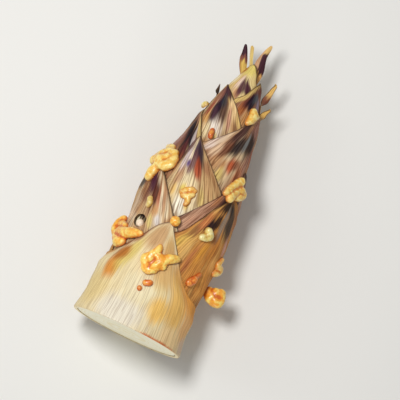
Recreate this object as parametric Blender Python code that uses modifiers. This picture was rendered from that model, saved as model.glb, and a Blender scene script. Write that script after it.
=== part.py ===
"""Bamboo shoot lying on its side, with fried crumb clumps stuck to its sheaths.

The shoot is built in its own frame of s (along the axis from the cut face), an
angle round the axis (0 on top, positive towards +X) and a radius.  Sheaths are
laid on the culm one after another, from the inside out: a height field keeps
the radius reached so far, so each sheath drapes over those inside it.
"""
import math

import bmesh
import bpy
import numpy as np
from mathutils import Matrix, Vector

MM = 0.001

# Driving dimensions, in millimetres and degrees.
TILT = 2.1                 # the axis runs down towards the tip
AXIS_HEIGHT = 43.8         # centre of the cut face above the resting plane
FOOTPRINT = (5.97, 121.86) # middle of the footprint from the foot of the cut face: the origin
PROFILE = [(0, 44.7), (11, 43.0), (24, 41.8), (55, 40.6), (85, 40.2), (105, 39.2), (118, 37.9),
           (132, 35.0), (146, 31.6), (161, 27.6), (179, 23.2), (188, 20.2), (206, 13.7),
           (217, 8.8), (227, 4.6), (236, 3.0)]
CULM_LENGTH = 204.0
CULM_STATIONS = 15
CULM_SIDES = 32
CLEARANCE = 0.35           # least distance between a sheath and what it lies on
GAP = 0.55                 # and its usual distance
MARGIN = 0.75              # thickness at a sheath's edge
THINNING = 9.0             # width over which a sheath thins towards its edge
START_TAPER = 16.0         # length over which a sheath thickens from its hidden start
START_THICKNESS = 0.65
WRAP = 7.0                 # first guess of the sheaths' thickness together
FIT_PASSES = 2
FIT_SMOOTHING = 30
LEAST_CULM_RADIUS = 1.6
DRAPE_PASSES = 12
DRAPE_SAMPLES = 6
STEP_FADE = 12.0           # width over which the step at an edge fades out under the next sheath
CRUMB_GAP = 0.4            # clearance under a crumb clump
FIELD_TURN = 2.0           # spacing of the height field round the axis
FIELD_S = 1.5              # and along it
COLUMN = 16.0              # angle between a sheath's columns
ROW = 13.0                 # distance between its rows
ROW_CROWDING = 1.2         # above 1, rows stand closer towards the tip
FLARE_CURVE = 1.6          # above 1, a flared tip bends away gradually
HOLED_SHEATH = "sheath_left_holed"
HOLE_AT = (81.5, -47.5)    # s and angle of the hole through that sheath
HOLE_ALONG = 5.3           # half its length along the shoot and half its width round it
HOLE_ROUND = 6.3
HOLE_SIDES = 16
HOLE_DEPTH = 12.0
READING_LEAN = 0.107       # the tables read s along a line that leans this much from square
READING_TURN = 3.2         # and their zero angle is this far past the top
LOWEST_SHEATHS = ("sheath_base", "sheath_right_lower", "sheath_back_lower")
GROUND_BLOCK = (200.0, 400.0, 40.0)    # the block that cuts them off at the resting plane

# A sheath that stands clear of what is beneath it: the rise at its tip, the s where that
# starts, its reach, then the angles between which it fades in.
STAND_OFF = {"sheath_left_holed": (4.4, 84.0, 42.0, -40.0, -75.0)}

# Each sheath: name, first s, body thickness, then (rise, from s, twist, twist from s, to s) of
# a flared tip, then its left and right edges as (s, angle) from the tip down.  Inner ones first.
SHEATHS = [
    ("sheath_top", 176, 0.9, None,
     [(227, -28), (225.5, -55), (220, -88), (213, -120), (208, -150), (206, -179)],
     [(227, -28), (225.5, -3), (222.8, 13), (220.5, 24), (216.5, 33), (212.5, 46), (210, 72),
      (208.5, 108), (207, 145), (206, 178)]),
    ("sheath_right_upper", 158, 0.9, None,
     [(216, 60), (212, 32), (207.5, 17), (203, 6), (200, -5), (197, -15), (186, -34), (172, -56)],
     [(216, 60), (210, 86), (199, 116), (185, 150), (174, 176)]),
    ("sheath_back_upper", 146, 0.9, (13.2, 203, 80, 199.5, 208),
     [(220.5, 96), (220, 94), (218, 92), (214, 89.5), (210, 87.5), (207, 86.5), (203, 83),
      (196, 80), (186, 77), (172, 68), (160, 56)],
     [(220.5, 99), (220, 101), (218, 103), (214, 105.5), (210, 107), (207, 107.5), (203, 112),
      (200, 121), (196, 138), (188, 164), (178, 194), (166, 222)]),
    ("sheath_left_upper", 146, 1.0, None,
     [(204.5, -80), (198, -104), (186, -135), (172, -168), (164, -186)],
     [(204.5, -80), (200.5, -37), (196, -17), (191, 0), (182.5, 18), (174, 36), (162, 62)]),
    ("sheath_left_rear", 133, 0.9, (6.0, 193, 75, 193.5, 197.5),
     [(201.5, -115), (200, -117), (198, -119.5), (195, -123), (190, -129), (176, -160),
      (162, -200)],
     [(201.5, -113), (200, -111), (198, -109.5), (195, -108), (185, -107), (165, -106),
      (150, -103), (140, -90)]),
    ("sheath_right_middle", 114, 1.1, (8.4, 192.5, 75, 189.8, 195),
     [(200.5, 72), (200, 70.5), (198, 69), (195.5, 67), (191, 62), (185.5, 43), (179.5, 25),
      (175.5, 17.5), (172, 9), (167, -1.5), (162, -12.5), (157.5, -22), (148, -44), (136, -64)],
     [(200.5, 74.5), (200, 76), (198, 77.5), (195.5, 79), (191, 82), (180, 106), (165, 136),
      (150, 166), (134, 196)]),
    ("sheath_left_middle", 102, 1.1, None,
     [(179, -75), (174, -95), (164, -120), (150, -150), (132, -184)],
     [(179, -75), (171, -53), (159, -31), (150, -14), (140, 5), (126, 28)]),
    ("sheath_back_middle", 92, 1.1, None,
     [(166, 177), (156, 152), (141, 124), (120, 96)],
     [(166, 177), (156, 202), (141, 232), (120, 262)]),
    ("sheath_centre", 74, 1.2, None,
     [(159.5, -32), (153, -36.5), (140, -38), (124, -39), (108, -43), (90, -54)],
     [(159.5, -32), (149, -10), (139, 9), (129, 26), (118, 42), (104, 63), (88, 85)]),
    ("sheath_right_band", 54, 1.2, None,
     [(149.5, 63), (138, 47), (126, 30), (111, 11), (98, -5), (88, -22), (78, -48), (68, -80)],
     [(149.5, 63), (144, 82), (134, 102), (118, 132), (100, 165), (80, 198)]),
    ("sheath_left_holed", 44, 1.5, None,
     [(126, -60), (122, -75), (112, -97), (98, -126), (84, -156), (68, -188)],
     [(126, -60), (121, -45), (112, -31), (98, -13), (91, -4), (82, 10), (72, 34), (58, 66)]),
    ("sheath_back_lower", 28, 1.8, None,
     [(119, 172), (110, 148), (95, 121), (78, 94), (58, 64)],
     [(119, 172), (110, 195), (95, 222), (78, 250), (58, 280)]),
    ("sheath_right_lower", 8, 1.7, None,
     [(128.5, 52), (115, 28), (102, 17), (89, 5), (84, -4), (75, -16), (64, -30), (52, -50),
      (42, -73), (34, -105), (26, -144)],
     [(128.5, 52), (123, 70), (112, 90), (97, 114), (80, 146), (62, 178), (48, 200), (40, 214)]),
    ("sheath_base", 0, 3.2, None,
     [(92, -8), (85, -20.5), (74, -32), (60, -52), (51, -72), (45, -100), (38, -140), (32, -180),
      (29, -214)],
     [(92, -8), (85.5, -3), (71, 11), (54, 30), (46, 48), (39, 75), (33, 110), (29, 144.8)]),
]

# Free blades at the top: rows of (s, x, z, width, twist) and a crescent depth.
BLADES = {
    "blade_left": ([(206.6, -1.8, -3.4, 3.0, 0), (213, -4.2, -3.8, 4.4, -8),
                    (218.6, -7.3, -4.2, 6.0, -12), (222.6, -9.4, -4.0, 6.4, -10),
                    (227, -11.1, -3.4, 6.4, -8), (231, -12.2, -3.0, 4.9, -6),
                    (234.5, -13.3, -2.7, 3.7, -4), (237.5, -14.3, -2.5, 2.3, 0),
                    (238.5, -14.6, -2.4, 1.1, 0)], 0.9),
    "blade_thin": ([(206.6, -1.6, 1.4, 2.0, 0), (214, -2.0, 1.3, 2.6, 0), (221, -3.0, 0.8, 2.7, 0),
                    (225.3, -4.2, 0.3, 2.7, 0), (229.5, -6.1, 0.2, 2.7, 0),
                    (234.5, -8.0, 0.2, 2.9, 0), (237.6, -9.1, 0.2, 2.9, 0),
                    (238.8, -9.5, 0.2, 2.0, 0), (239.3, -9.7, 0.2, 0.8, 0)], 0.25),
    "blade_right": ([(206.6, 2.0, -1.6, 3.8, 0), (210, 2.3, -1.6, 5.4, 0),
                     (213, 2.6, -1.5, 6.8, 0), (217, 2.8, -1.4, 8.0, 0),
                     (221.4, 3.0, -1.3, 8.4, 3), (225.5, 2.6, -1.1, 8.6, 6),
                     (228, 2.1, -0.7, 8.4, 8), (230.5, 1.7, -0.2, 7.6, 8),
                     (235, 1.6, 0.8, 5.4, 6), (238, 2.0, 1.3, 4.6, 4), (241.3, 2.7, 1.9, 3.8, 2),
                     (244, 3.3, 2.4, 2.6, 0), (245.3, 3.5, 2.6, 1.2, 0)], 1.2),
}
BLADE_THICKNESS = 0.9
BLADE_COLUMNS = 4

# Crumb clumps: each stroke is a run of points joined by a lobe of changing thickness, given as
# (s, angle, radius, lift of the lobe's middle above the sheath).
CRUMBS = {
    "crumb_left_large": [
        [(77, -86, 2.9, 1.9), (71.5, -86, 3.5, 3.4), (67.5, -86, 3.7, 3.0), (64.5, -80, 3.8, 1.2)],
        [(62, -72, 3.9, 1.2), (59.5, -63, 4.3, 1.3), (60.5, -56, 3.5, 1.0)],
        [(66.5, -74, 3.9, 1.2), (68, -57, 4.3, 1.3), (70.5, -46, 3.9, 1.1), (72, -38, 2.9, 0.9),
         (72.5, -34, 2.0, 0.6)],
        [(72.5, -86, 3.8, 0.8), (72, -67, 2.8, 0.6)]],
    "crumb_centre_large": [
        [(57, -16, 3.7, 1.1), (59.5, -12, 3.9, 1.2), (63, -10, 3.5, 1.1), (67, -8, 2.9, 0.9),
         (69.5, -8, 2.3, 0.6)],
        [(57, -16, 3.7, 1.0), (51, -12, 3.5, 1.1), (50, -8, 3.2, 0.9), (52.5, -5, 3.7, 1.1),
         (57, -3, 4.0, 1.2)],
        [(62.5, -6, 3.5, 1.1), (60, -1, 3.9, 1.2), (57.5, 2, 3.4, 1.0)],
        [(61, 0, 3.7, 1.1), (64.5, 5, 3.5, 1.0), (66.5, 10, 3.1, 0.9), (67.5, 15, 1.8, 0.5)],
        [(55.5, -12, 3.0, 0.6), (55.5, -7, 3.2, 0.6), (59, -6, 3.2, 0.7)]],
    "crumb_drop_upper": [[(40.5, -6, 2.3, 0.6), (42, -2, 2.4, 0.7)]],
    "crumb_drop_lower": [[(35, -9, 2.1, 0.5)]],
    "crumb_top_left_large": [
        [(127.5, -86, 3.9, 2.6), (130.5, -84, 4.2, 1.3), (134.5, -68, 4.5, 1.3),
         (138, -60, 4.3, 1.3), (137.5, -51, 3.9, 1.1)],
        [(141, -82, 2.6, 0.8), (141.5, -66, 3.2, 1.0)],
        [(138, -51, 3.9, 1.1), (134.5, -45, 3.5, 1.0), (130, -44, 3.9, 1.1), (126.5, -49, 3.9, 1.2),
         (126, -59, 3.6, 1.0)],
        [(128, -67, 3.9, 1.1), (130, -58, 4.3, 1.3), (133, -53, 4.0, 1.2)],
        [(123, -60, 3.6, 0.9), (119, -62, 3.9, 1.1), (114.5, -64, 3.6, 0.9)]],
    "crumb_ball": [[(92.5, -6, 4.0, 1.6)]],
    "crumb_flat_centre": [
        [(115, -15, 2.0, 0.1), (117.5, -11, 2.5, 0.1), (119.5, -6, 2.3, 0.1), (119.5, -2, 1.8, 0.1)],
        [(113, -12, 2.2, 0.1), (114, -6, 2.8, 0.1), (116.5, -2, 2.2, 0.1)],
        [(114, -6, 2.5, 0.1), (111, -4, 2.3, 0.1), (107.5, -5, 1.8, 0.0)]],
    "crumb_right_cluster": [
        [(128.5, 32, 2.2, 0.6), (132, 36, 2.6, 0.7), (135, 41, 2.9, 0.8), (138.5, 47, 3.1, 0.9),
         (141.5, 53, 3.7, 1.1)],
        [(126.5, 40, 3.4, 1.0), (130, 44, 3.2, 0.9), (133.5, 50, 3.1, 0.9), (135, 57, 3.9, 1.1),
         (133, 63, 3.9, 1.2), (130.5, 56, 3.4, 1.0), (128.5, 50, 2.4, 0.6)]],
    "crumb_pale_cluster": [
        [(97, 31, 3.1, 0.8), (93.5, 35, 3.3, 0.9), (91.5, 31, 2.9, 0.7), (90.5, 27, 2.7, 0.7)]],
    "crumb_tailed": [
        [(55.5, 39, 3.0, 0.6), (57.5, 42, 3.2, 0.6), (60, 44, 2.4, 0.5), (62, 46, 1.6, 0.3),
         (64.5, 49, 1.7, 0.3)]],
    "crumb_small_rim": [[(183, -79, 2.7, 0.6), (181.5, -84, 2.2, 0.4)]],
    "crumb_blade_foot": [
        [(193.5, 42, 3.0, 0.6), (190.5, 43, 3.8, 0.8), (187, 37, 3.3, 0.7), (184, 31, 2.1, 0.4)],
        [(190.5, 43, 3.6, 0.7), (191, 50, 2.8, 0.6)]],
    "crumb_lens": [[(167.5, -21, 1.8, 0.0), (164.5, -19, 2.0, 0.0), (162, -17, 1.5, 0.0)]],
    "crumb_left_bump": [[(99.5, -47, 2.3, 0.2), (97, -44, 2.2, 0.2), (94.5, -45, 2.0, 0.2)]],
    "crumb_right_edge": [
        [(81.5, 79, 1.9, 0.6), (77, 74, 2.7, 0.7), (73, 84, 3.4, 1.4), (70, 76, 2.5, 0.6)]],
    "crumb_right_low": [
        [(55, 90, 4.4, 2.4), (52, 88, 4.0, 6.0), (56.5, 88, 4.4, 8.0), (58, 88, 3.9, 11.0)],
        [(52, 88, 4.4, 6.0), (51.5, 88, 4.8, 9.4), (50.5, 88, 3.6, 12.8), (55.5, 88, 3.6, 12.8)]],
}
CRUMB_CELL = 0.66          # mesh size of a crumb, as a share of its mean lobe
CRUMB_LEAST_CELL = 1.8
METABALL_THRESHOLD = 0.1
METABALL_STIFFNESS = 3.0
METABALL_SPREAD = 1.3      # a lobe's field reaches this much further than its surface
LOBE_SPACING = 0.7         # a stroke's lobes are this share of their radius apart
HOLE_CRUMB = [[(80.2, -45.5, 2.7, 0.7)]]

COLOURS = {
    "sheath_top": (0.62, 0.44, 0.25), "sheath_right_upper": (0.36, 0.26, 0.20),
    "sheath_back_upper": (0.45, 0.31, 0.20), "sheath_left_upper": (0.35, 0.22, 0.17),
    "sheath_left_rear": (0.30, 0.20, 0.15), "sheath_right_middle": (0.38, 0.27, 0.20),
    "sheath_left_middle": (0.34, 0.24, 0.18), "sheath_back_middle": (0.40, 0.28, 0.18),
    "sheath_centre": (0.52, 0.37, 0.22), "sheath_right_band": (0.31, 0.20, 0.14),
    "sheath_left_holed": (0.42, 0.27, 0.18), "sheath_back_lower": (0.45, 0.30, 0.17),
    "sheath_right_lower": (0.42, 0.24, 0.12), "sheath_base": (0.66, 0.50, 0.30),
}
CULM_COLOUR = (0.72, 0.65, 0.48)
BLADE_COLOUR = (0.55, 0.38, 0.20)
CRUMB_COLOUR = (0.80, 0.45, 0.13)
SHEATH_ROUGHNESS = 0.55
CULM_ROUGHNESS = 0.6
CRUMB_ROUGHNESS = 0.4
PALE_CRUMBS = {"crumb_pale_cluster", "crumb_in_hole", "crumb_left_bump", "crumb_small_rim"}
PALE_COLOUR = (0.80, 0.66, 0.36)

TURNS = np.arange(-180.0, 180.0, FIELD_TURN)
STATIONS = np.arange(0.0, 231.0, FIELD_S)


def curve_through(points):
    """A smooth curve without overshoot through (s, value) points, straight on beyond its ends."""
    xs, ys = (np.array(column, float) for column in zip(*sorted(points)))
    slopes = np.diff(ys) / np.diff(xs)
    inner = np.where(slopes[1:] * slopes[:-1] > 0,
                     2 * slopes[1:] * slopes[:-1] / (slopes[1:] + slopes[:-1] + 1e-12), 0.0)
    tangents = np.concatenate([slopes[:1], inner, slopes[-1:]])

    def value(x):
        x = np.asarray(x, float)
        k = np.clip(np.searchsorted(xs, x) - 1, 0, len(xs) - 2)
        width = xs[k + 1] - xs[k]
        t = np.clip((x - xs[k]) / width, 0, 1)
        curve = ((1 + 2 * t) * (1 - t) ** 2 * ys[k] + t * (1 - t) ** 2 * width * tangents[k]
                 + t * t * (3 - 2 * t) * ys[k + 1] - t * t * (1 - t) * width * tangents[k + 1])
        beyond = np.maximum(x - xs[-1], 0) * tangents[-1] + np.minimum(x - xs[0], 0) * tangents[0]
        return curve + beyond
    return value


def smoothstep(x):
    x = np.clip(x, 0, 1)
    return x * x * (3 - 2 * x)


outer_profile = curve_through(PROFILE)


def true_s(s, turn, lift=0.0):
    """The s of a place whose reading in the tables is s."""
    above = np.maximum(np.cos(np.radians(turn)), 0) * (outer_profile(s) + lift)
    return s - above * READING_LEAN


SHEATHS = [(*sheath[:4], *([(float(true_s(s, turn)), turn) for s, turn in side]
                           for side in sheath[4:])) for sheath in SHEATHS]


def edge_height(sheath, turn):
    """The s at which the sheath ends at an angle: its left edge, tip and right edge in turn."""
    left, right = sheath[4], sheath[5]
    left_curve = curve_through([(angle, s) for s, angle in left])
    right_curve = curve_through([(angle, s) for s, angle in right])
    return np.where(turn < left[0][1], left_curve(turn), right_curve(turn))


def look_up(field, turn, s):
    """The field's value at a point, blended between its nearest entries."""
    column = np.mod(np.asarray(turn, float) + 180, 360) / FIELD_TURN
    row = np.clip(np.asarray(s, float) / FIELD_S, 0, len(STATIONS) - 1.001)
    c0 = np.floor(column).astype(int)
    r0 = np.floor(row).astype(int)
    fc = column - c0
    fr = row - r0
    c0, c1 = c0 % len(TURNS), (c0 + 1) % len(TURNS)
    return ((field[c0, r0] * (1 - fc) + field[c1, r0] * fc) * (1 - fr)
            + (field[c0, r0 + 1] * (1 - fc) + field[c1, r0 + 1] * fc) * fr)


def to_world(turn, s, radius):
    """A point of the shoot's own frame as metres above the resting plane."""
    angle = math.radians(turn + READING_TURN)
    x = radius * math.sin(angle)
    up = radius * math.cos(angle)
    tilt = math.radians(TILT)
    y = s * math.cos(tilt) + up * math.sin(tilt)
    z = AXIS_HEIGHT - s * math.sin(tilt) + up * math.cos(tilt)
    return Vector((x - FOOTPRINT[0], y - FOOTPRINT[1], z)) * MM


def new_material(name, colour, roughness):
    material = bpy.data.materials.new(name)
    material.use_nodes = True
    shader = material.node_tree.nodes["Principled BSDF"]
    shader.inputs["Base Color"].default_value = (*colour, 1)
    shader.inputs["Roughness"].default_value = roughness
    shader.inputs["Metallic"].default_value = 0
    return material


def add_object(name, mesh, material, collection):
    mesh.materials.append(material)
    made = bpy.data.objects.new(name, mesh)
    collection.objects.link(made)
    mesh.shade_smooth()
    mesh.set_sharp_from_angle(angle=math.radians(50))
    return made


def grid_mesh(name, rows, columns, place):
    """A rectangular grid of quads whose points are moved to place(row share, column share)."""
    bm = bmesh.new()
    bmesh.ops.create_grid(bm, x_segments=columns, y_segments=rows, size=0.5)
    for vert in bm.verts:
        vert.co = place(vert.co.y + 0.5, vert.co.x + 0.5)
    mesh = bpy.data.meshes.new(name)
    bm.to_mesh(mesh)
    bm.free()
    return mesh


def add_solidify(made, thickness, side):
    """Give an open surface its thickness on one side, thinner where its vertex group says."""
    solidify = made.modifiers.new("Solidify", "SOLIDIFY")
    solidify.thickness = thickness * MM
    solidify.offset = side
    if made.vertex_groups:
        solidify.vertex_group = made.vertex_groups[0].name
    return solidify


def drape(turn, s, field):
    """Radii that lay a coarse grid of points on the field, clear of it between them as well."""
    radius = look_up(field, turn, s) + GAP
    corners = [(slice(None, -1), slice(None, -1)), (slice(1, None), slice(None, -1)),
               (slice(None, -1), slice(1, None)), (slice(1, None), slice(1, None))]
    for _ in range(DRAPE_PASSES):
        x = radius * np.sin(np.radians(turn))
        up = radius * np.cos(np.radians(turn))
        push = np.zeros_like(radius)
        for a in np.linspace(0, 1, DRAPE_SAMPLES):
            for b in np.linspace(0, 1, DRAPE_SAMPLES):
                weights = ((1 - a) * (1 - b), a * (1 - b), (1 - a) * b, a * b)
                inner_x, inner_up, inner_s = (
                    sum(weight * values[corner] for weight, corner in zip(weights, corners))
                    for values in (x, up, s))
                inner_turn = np.degrees(np.arctan2(inner_x, inner_up))
                lacking = (look_up(field, inner_turn, inner_s) + CLEARANCE
                           - np.hypot(inner_x, inner_up))
                share = sum(weight ** 2 for weight in weights)
                for weight, corner in zip(weights, corners):
                    push[corner] = np.maximum(push[corner], lacking * weight / share)
        radius = radius + push
    return radius


def column_angles(sheath):
    """Angles of a sheath's columns: one through each point of its edges, filled in evenly."""
    knots = sorted({angle for _, angle in sheath[4] + sheath[5]})
    angles = [knots[0]]
    for start, end in zip(knots, knots[1:]):
        count = math.ceil((end - start) / COLUMN)
        angles += [start + (end - start) * (k + 1) / count for k in range(count)]
    return np.array(angles)


def lay_sheath(sheath, field):
    """The grid of a sheath draped on the field: angle, s, inner radius and thickness."""
    first, body = sheath[1:3]
    angles = column_angles(sheath)
    top = edge_height(sheath, angles)
    rows = max(6, round((top.max() - first) / ROW))
    share = np.linspace(0, 1, rows + 1)[:, None]
    s = first + (top[None, :] - first) * (1 - (1 - share) ** ROW_CROWDING)
    turn = np.repeat(angles[None, :], rows + 1, axis=0)
    radius = outer_profile(s)
    lean = np.gradient(top, angles)[None, :] / (radius * math.pi / 180)
    depth = (top[None, :] - s) / np.sqrt(1 + lean ** 2)
    thick = MARGIN + (body - MARGIN) * smoothstep(depth / THINNING)
    if first:
        begun = smoothstep((s - first) / START_TAPER)
        thick = START_THICKNESS + (thick - START_THICKNESS) * begun
    return turn, s, drape(turn, s, field) + stand_off(sheath[0], turn, s), thick


def stand_off(name, turn, s):
    """How far a sheath stands clear of what is beneath it, towards its tip on one side."""
    if name not in STAND_OFF:
        return 0.0
    rise, from_s, reach, none_at, full_at = STAND_OFF[name]
    share = np.clip((s - from_s) / reach, 0, 1) ** FLARE_CURVE
    return rise * share * smoothstep((turn - none_at) / (full_at - none_at))


def raise_field(field, sheath, grid):
    """Raise the field to a draped grid's outer face, and fade the step out beyond its edges."""
    turn, s, inner, thick = grid
    outer = inner + thick
    rows = len(outer) - 1
    angles = turn[0]
    rise = np.zeros_like(field)
    for column, angle in enumerate(TURNS):
        near = angles[0] + (angle - angles[0]) % 360
        if near > angles[-1]:
            continue
        at = min(np.interp(near, angles, np.arange(len(angles))), len(angles) - 1.001)
        c0 = int(at)
        weights = np.array([c0 + 1 - at, at - c0])
        heights = s[:, c0:c0 + 2] @ weights
        reached = np.interp(STATIONS, heights, outer[:, c0:c0 + 2] @ weights)
        inside = (STATIONS > heights[0] - FIELD_S) & (STATIONS < heights[rows] + FIELD_S)
        rise[column] = np.where(inside, np.maximum(reached - field[column], 0), 0)
    spread = rise.copy()
    cell = outer_profile(STATIONS) * math.radians(FIELD_TURN)
    for shift in range(1, 40):
        fade = smoothstep(1 - shift * cell / STEP_FADE)[None, :]
        for way in (-shift, shift):
            spread = np.maximum(spread, np.roll(rise, way, axis=0) * fade)
    wide = spread.copy()
    for shift in range(1, int(STEP_FADE / FIELD_S)):
        fade = float(smoothstep(1 - shift * FIELD_S / STEP_FADE))
        wide[:, shift:] = np.maximum(wide[:, shift:], spread[:, :-shift] * fade)
        wide[:, :-shift] = np.maximum(wide[:, :-shift], spread[:, shift:] * fade)
    return field + wide


def lay_all(culm_radius):
    """Every sheath's grid and the field beneath it, on a culm of these radii."""
    field = np.tile(culm_radius, (len(TURNS), 1))
    grids, below = {}, {}
    for sheath in SHEATHS:
        name = sheath[0]
        below[name] = field
        grids[name] = lay_sheath(sheath, field)
        field = raise_field(field, sheath, grids[name])
    return grids, below, field


def fit_culm():
    """Radii of the culm at each station that bring the sheaths out to the profile on average."""
    radii = outer_profile(STATIONS) - WRAP
    for _ in range(FIT_PASSES):
        excess = lay_all(radii)[2].mean(axis=0) - outer_profile(STATIONS)
        for _ in range(FIT_SMOOTHING):
            excess[1:-1] = (excess[:-2] + excess[2:]) / 2
        radii = np.maximum(radii - excess, LEAST_CULM_RADIUS)
    return radii


def flare_tip(sheath, turn, s, inner):
    """Angles and radii of a sheath with its tip bent out, and twisted so that its width faces up."""
    if not sheath[3]:
        return turn, inner
    rise, from_s, twist, twist_from, twist_to = sheath[3]
    left, right = (curve_through(side)(s) for side in sheath[4:])
    centre, half = (left + right) / 2, np.radians(right - left) / 2
    way = 1 if sheath[4][0][1] > 0 else -1
    bent = inner + rise * np.clip((s - from_s) / (s.max() - from_s), 0, 1) ** FLARE_CURVE
    roll = math.radians(twist) * smoothstep((s - twist_from) / (twist_to - twist_from))
    across = np.radians(turn - centre)
    bent = bent + bent * (half + across * way) * np.sin(roll)
    return centre + (turn - centre) * np.cos(roll), bent


def add_sheath(sheath, grid, collection):
    """One sheath: its inner face as a grid from the first s to the tip, with Solidify outwards."""
    name, body = sheath[0], sheath[2]
    turn, s, inner, thick = grid
    rows, columns = (count - 1 for count in turn.shape)
    turned, bent = flare_tip(sheath, turn, s, inner)

    def place(v, w):
        at = round(v * rows), round(w * columns)
        return to_world(turned[at], s[at], bent[at])

    mesh = grid_mesh(name, rows, columns, place)
    made = add_object(name, mesh, new_material(name, COLOURS[name], SHEATH_ROUGHNESS), collection)
    group = made.vertex_groups.new(name="thickness")
    for index in range(len(mesh.vertices)):
        group.add([index], thick[index // (columns + 1), index % (columns + 1)] / body, "REPLACE")
    add_solidify(made, body, 1)
    return made


def add_culm(radii, collection):
    """The solid stem inside the sheaths: a half profile turned round the axis."""
    stations = np.linspace(0, CULM_LENGTH, CULM_STATIONS)
    profile = [(float(np.interp(s, STATIONS, radii)), s) for s in stations]
    rim = profile[-1][0]
    profile += [(rim * 0.75, CULM_LENGTH + 1.0), (0.0, CULM_LENGTH + 1.4)]    # rounded top
    points = [(0.0, 0.0)] + profile
    bm = bmesh.new()
    verts = [bm.verts.new((radius * MM, 0, -s * MM)) for radius, s in points]
    for lower, upper in zip(verts, verts[1:]):
        bm.edges.new((lower, upper))
    mesh = bpy.data.meshes.new("culm")
    bm.to_mesh(mesh)
    bm.free()
    made = add_object("culm", mesh, new_material("culm", CULM_COLOUR, CULM_ROUGHNESS), collection)
    screw = made.modifiers.new("Screw", "SCREW")
    screw.steps = CULM_SIDES
    screw.render_steps = CULM_SIDES
    screw.use_merge_vertices = True
    screw.merge_threshold = 0.00002
    made.matrix_world = (Matrix.Translation(to_world(0, 0, 0))
                         @ Matrix.Rotation(math.radians(90 - TILT), 4, "X"))
    return made


def add_blade(name, spine, crescent, collection):
    """A free blade: rows across a spine, bent to a crescent, with Solidify."""
    s_values = [row[0] for row in spine]
    share = [(s - s_values[0]) / (s_values[-1] - s_values[0]) for s in s_values]
    along = [curve_through(list(zip(share, [row[k] for row in spine]))) for k in range(5)]
    rows = len(spine) + 3

    def place(v, w):
        s, x, z, width, twist = (float(curve(v)) for curve in along)
        across = (w - 0.5) * width
        bend = crescent * (width / 6) * (1 - (2 * w - 1) ** 2)
        roll = math.radians(twist)
        dx = across * math.cos(roll) + bend * math.sin(roll)
        dz = bend * math.cos(roll) - across * math.sin(roll)
        turn = math.degrees(math.atan2(x + dx, z + dz))
        return to_world(turn, s, math.hypot(x + dx, z + dz))

    mesh = grid_mesh(name, rows, BLADE_COLUMNS, place)
    made = add_object(name, mesh, new_material(name, BLADE_COLOUR, SHEATH_ROUGHNESS), collection)
    add_solidify(made, BLADE_THICKNESS, -1)
    return made


def to_shoot(point):
    """A world point in the shoot's own frame: angle, s and radius."""
    x, y, z = point / MM + Vector((*FOOTPRINT, 0))
    tilt = math.radians(TILT)
    dz = z - AXIS_HEIGHT
    s = y * math.cos(tilt) - dz * math.sin(tilt)
    up = y * math.sin(tilt) + dz * math.cos(tilt)
    return math.degrees(math.atan2(x, up)) - READING_TURN, s, math.hypot(x, up)


def lobe_run(stroke):
    """Evenly spaced lobes along a stroke."""
    found = [stroke[0]]
    for start, end in zip(stroke, stroke[1:]):
        start, end = np.array(start), np.array(end)
        across = math.radians(end[1] - start[1]) * float(outer_profile(start[0]))
        length = math.hypot(end[0] - start[0], across)
        count = max(1, math.ceil(length / (LOBE_SPACING * min(start[2], end[2]))))
        found += [tuple(start + (end - start) * (k + 1) / count) for k in range(count)]
    return found


def add_crumb(name, strokes, field, collection):
    """A clump of fused lobes, flattened against the sheaths that it sticks to."""
    ball = bpy.data.metaballs.new(name)
    lobes = [lobe for stroke in strokes for lobe in lobe_run(stroke)]
    mean = sum(lobe[2] for lobe in lobes) / len(lobes)
    ball.resolution = max(CRUMB_LEAST_CELL, mean * CRUMB_CELL)
    ball.threshold = METABALL_THRESHOLD
    for s, turn, radius, lift in lobes:
        element = ball.elements.new()
        s = float(true_s(s, turn, lift))
        element.co = to_world(turn, s, float(look_up(field, turn, s)) + CRUMB_GAP + lift) / MM
        element.radius = radius * METABALL_SPREAD
        element.stiffness = METABALL_STIFFNESS
    source = bpy.data.objects.new(name + "_lobes", ball)
    collection.objects.link(source)
    bpy.context.view_layer.update()
    graph = bpy.context.evaluated_depsgraph_get()
    mesh = bpy.data.meshes.new_from_object(source.evaluated_get(graph))
    bpy.data.objects.remove(source)
    mesh.name = name
    mesh.transform(Matrix.Scale(MM, 4))
    bm = bmesh.new()
    bm.from_mesh(mesh)
    bmesh.ops.triangulate(bm, faces=bm.faces)
    for vert in bm.verts:
        turn, s, radius = to_shoot(vert.co)
        floor = float(look_up(field, turn, s)) + CRUMB_GAP
        if radius < floor:
            vert.co = to_world(turn, s, floor)
    bm.to_mesh(mesh)
    bm.free()
    mesh.materials.clear()
    colour = PALE_COLOUR if name in PALE_CRUMBS else CRUMB_COLOUR
    return add_object(name, mesh, new_material(name, colour, CRUMB_ROUGHNESS), collection)


def cut(target, cutter):
    boolean = target.modifiers.new("Cut", "BOOLEAN")
    boolean.operation = "DIFFERENCE"
    boolean.solver = "EXACT"
    boolean.object = cutter


def add_cutter(name, bm, matrix, collection):
    """A cutter from a unit shape placed by a matrix; the part doesn't include it."""
    mesh = bpy.data.meshes.new(name)
    bm.to_mesh(mesh)
    bm.free()
    mesh.transform(matrix)
    made = bpy.data.objects.new(name, mesh)
    made.hide_render = True
    made.display_type = "WIRE"
    collection.objects.link(made)
    return made


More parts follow.
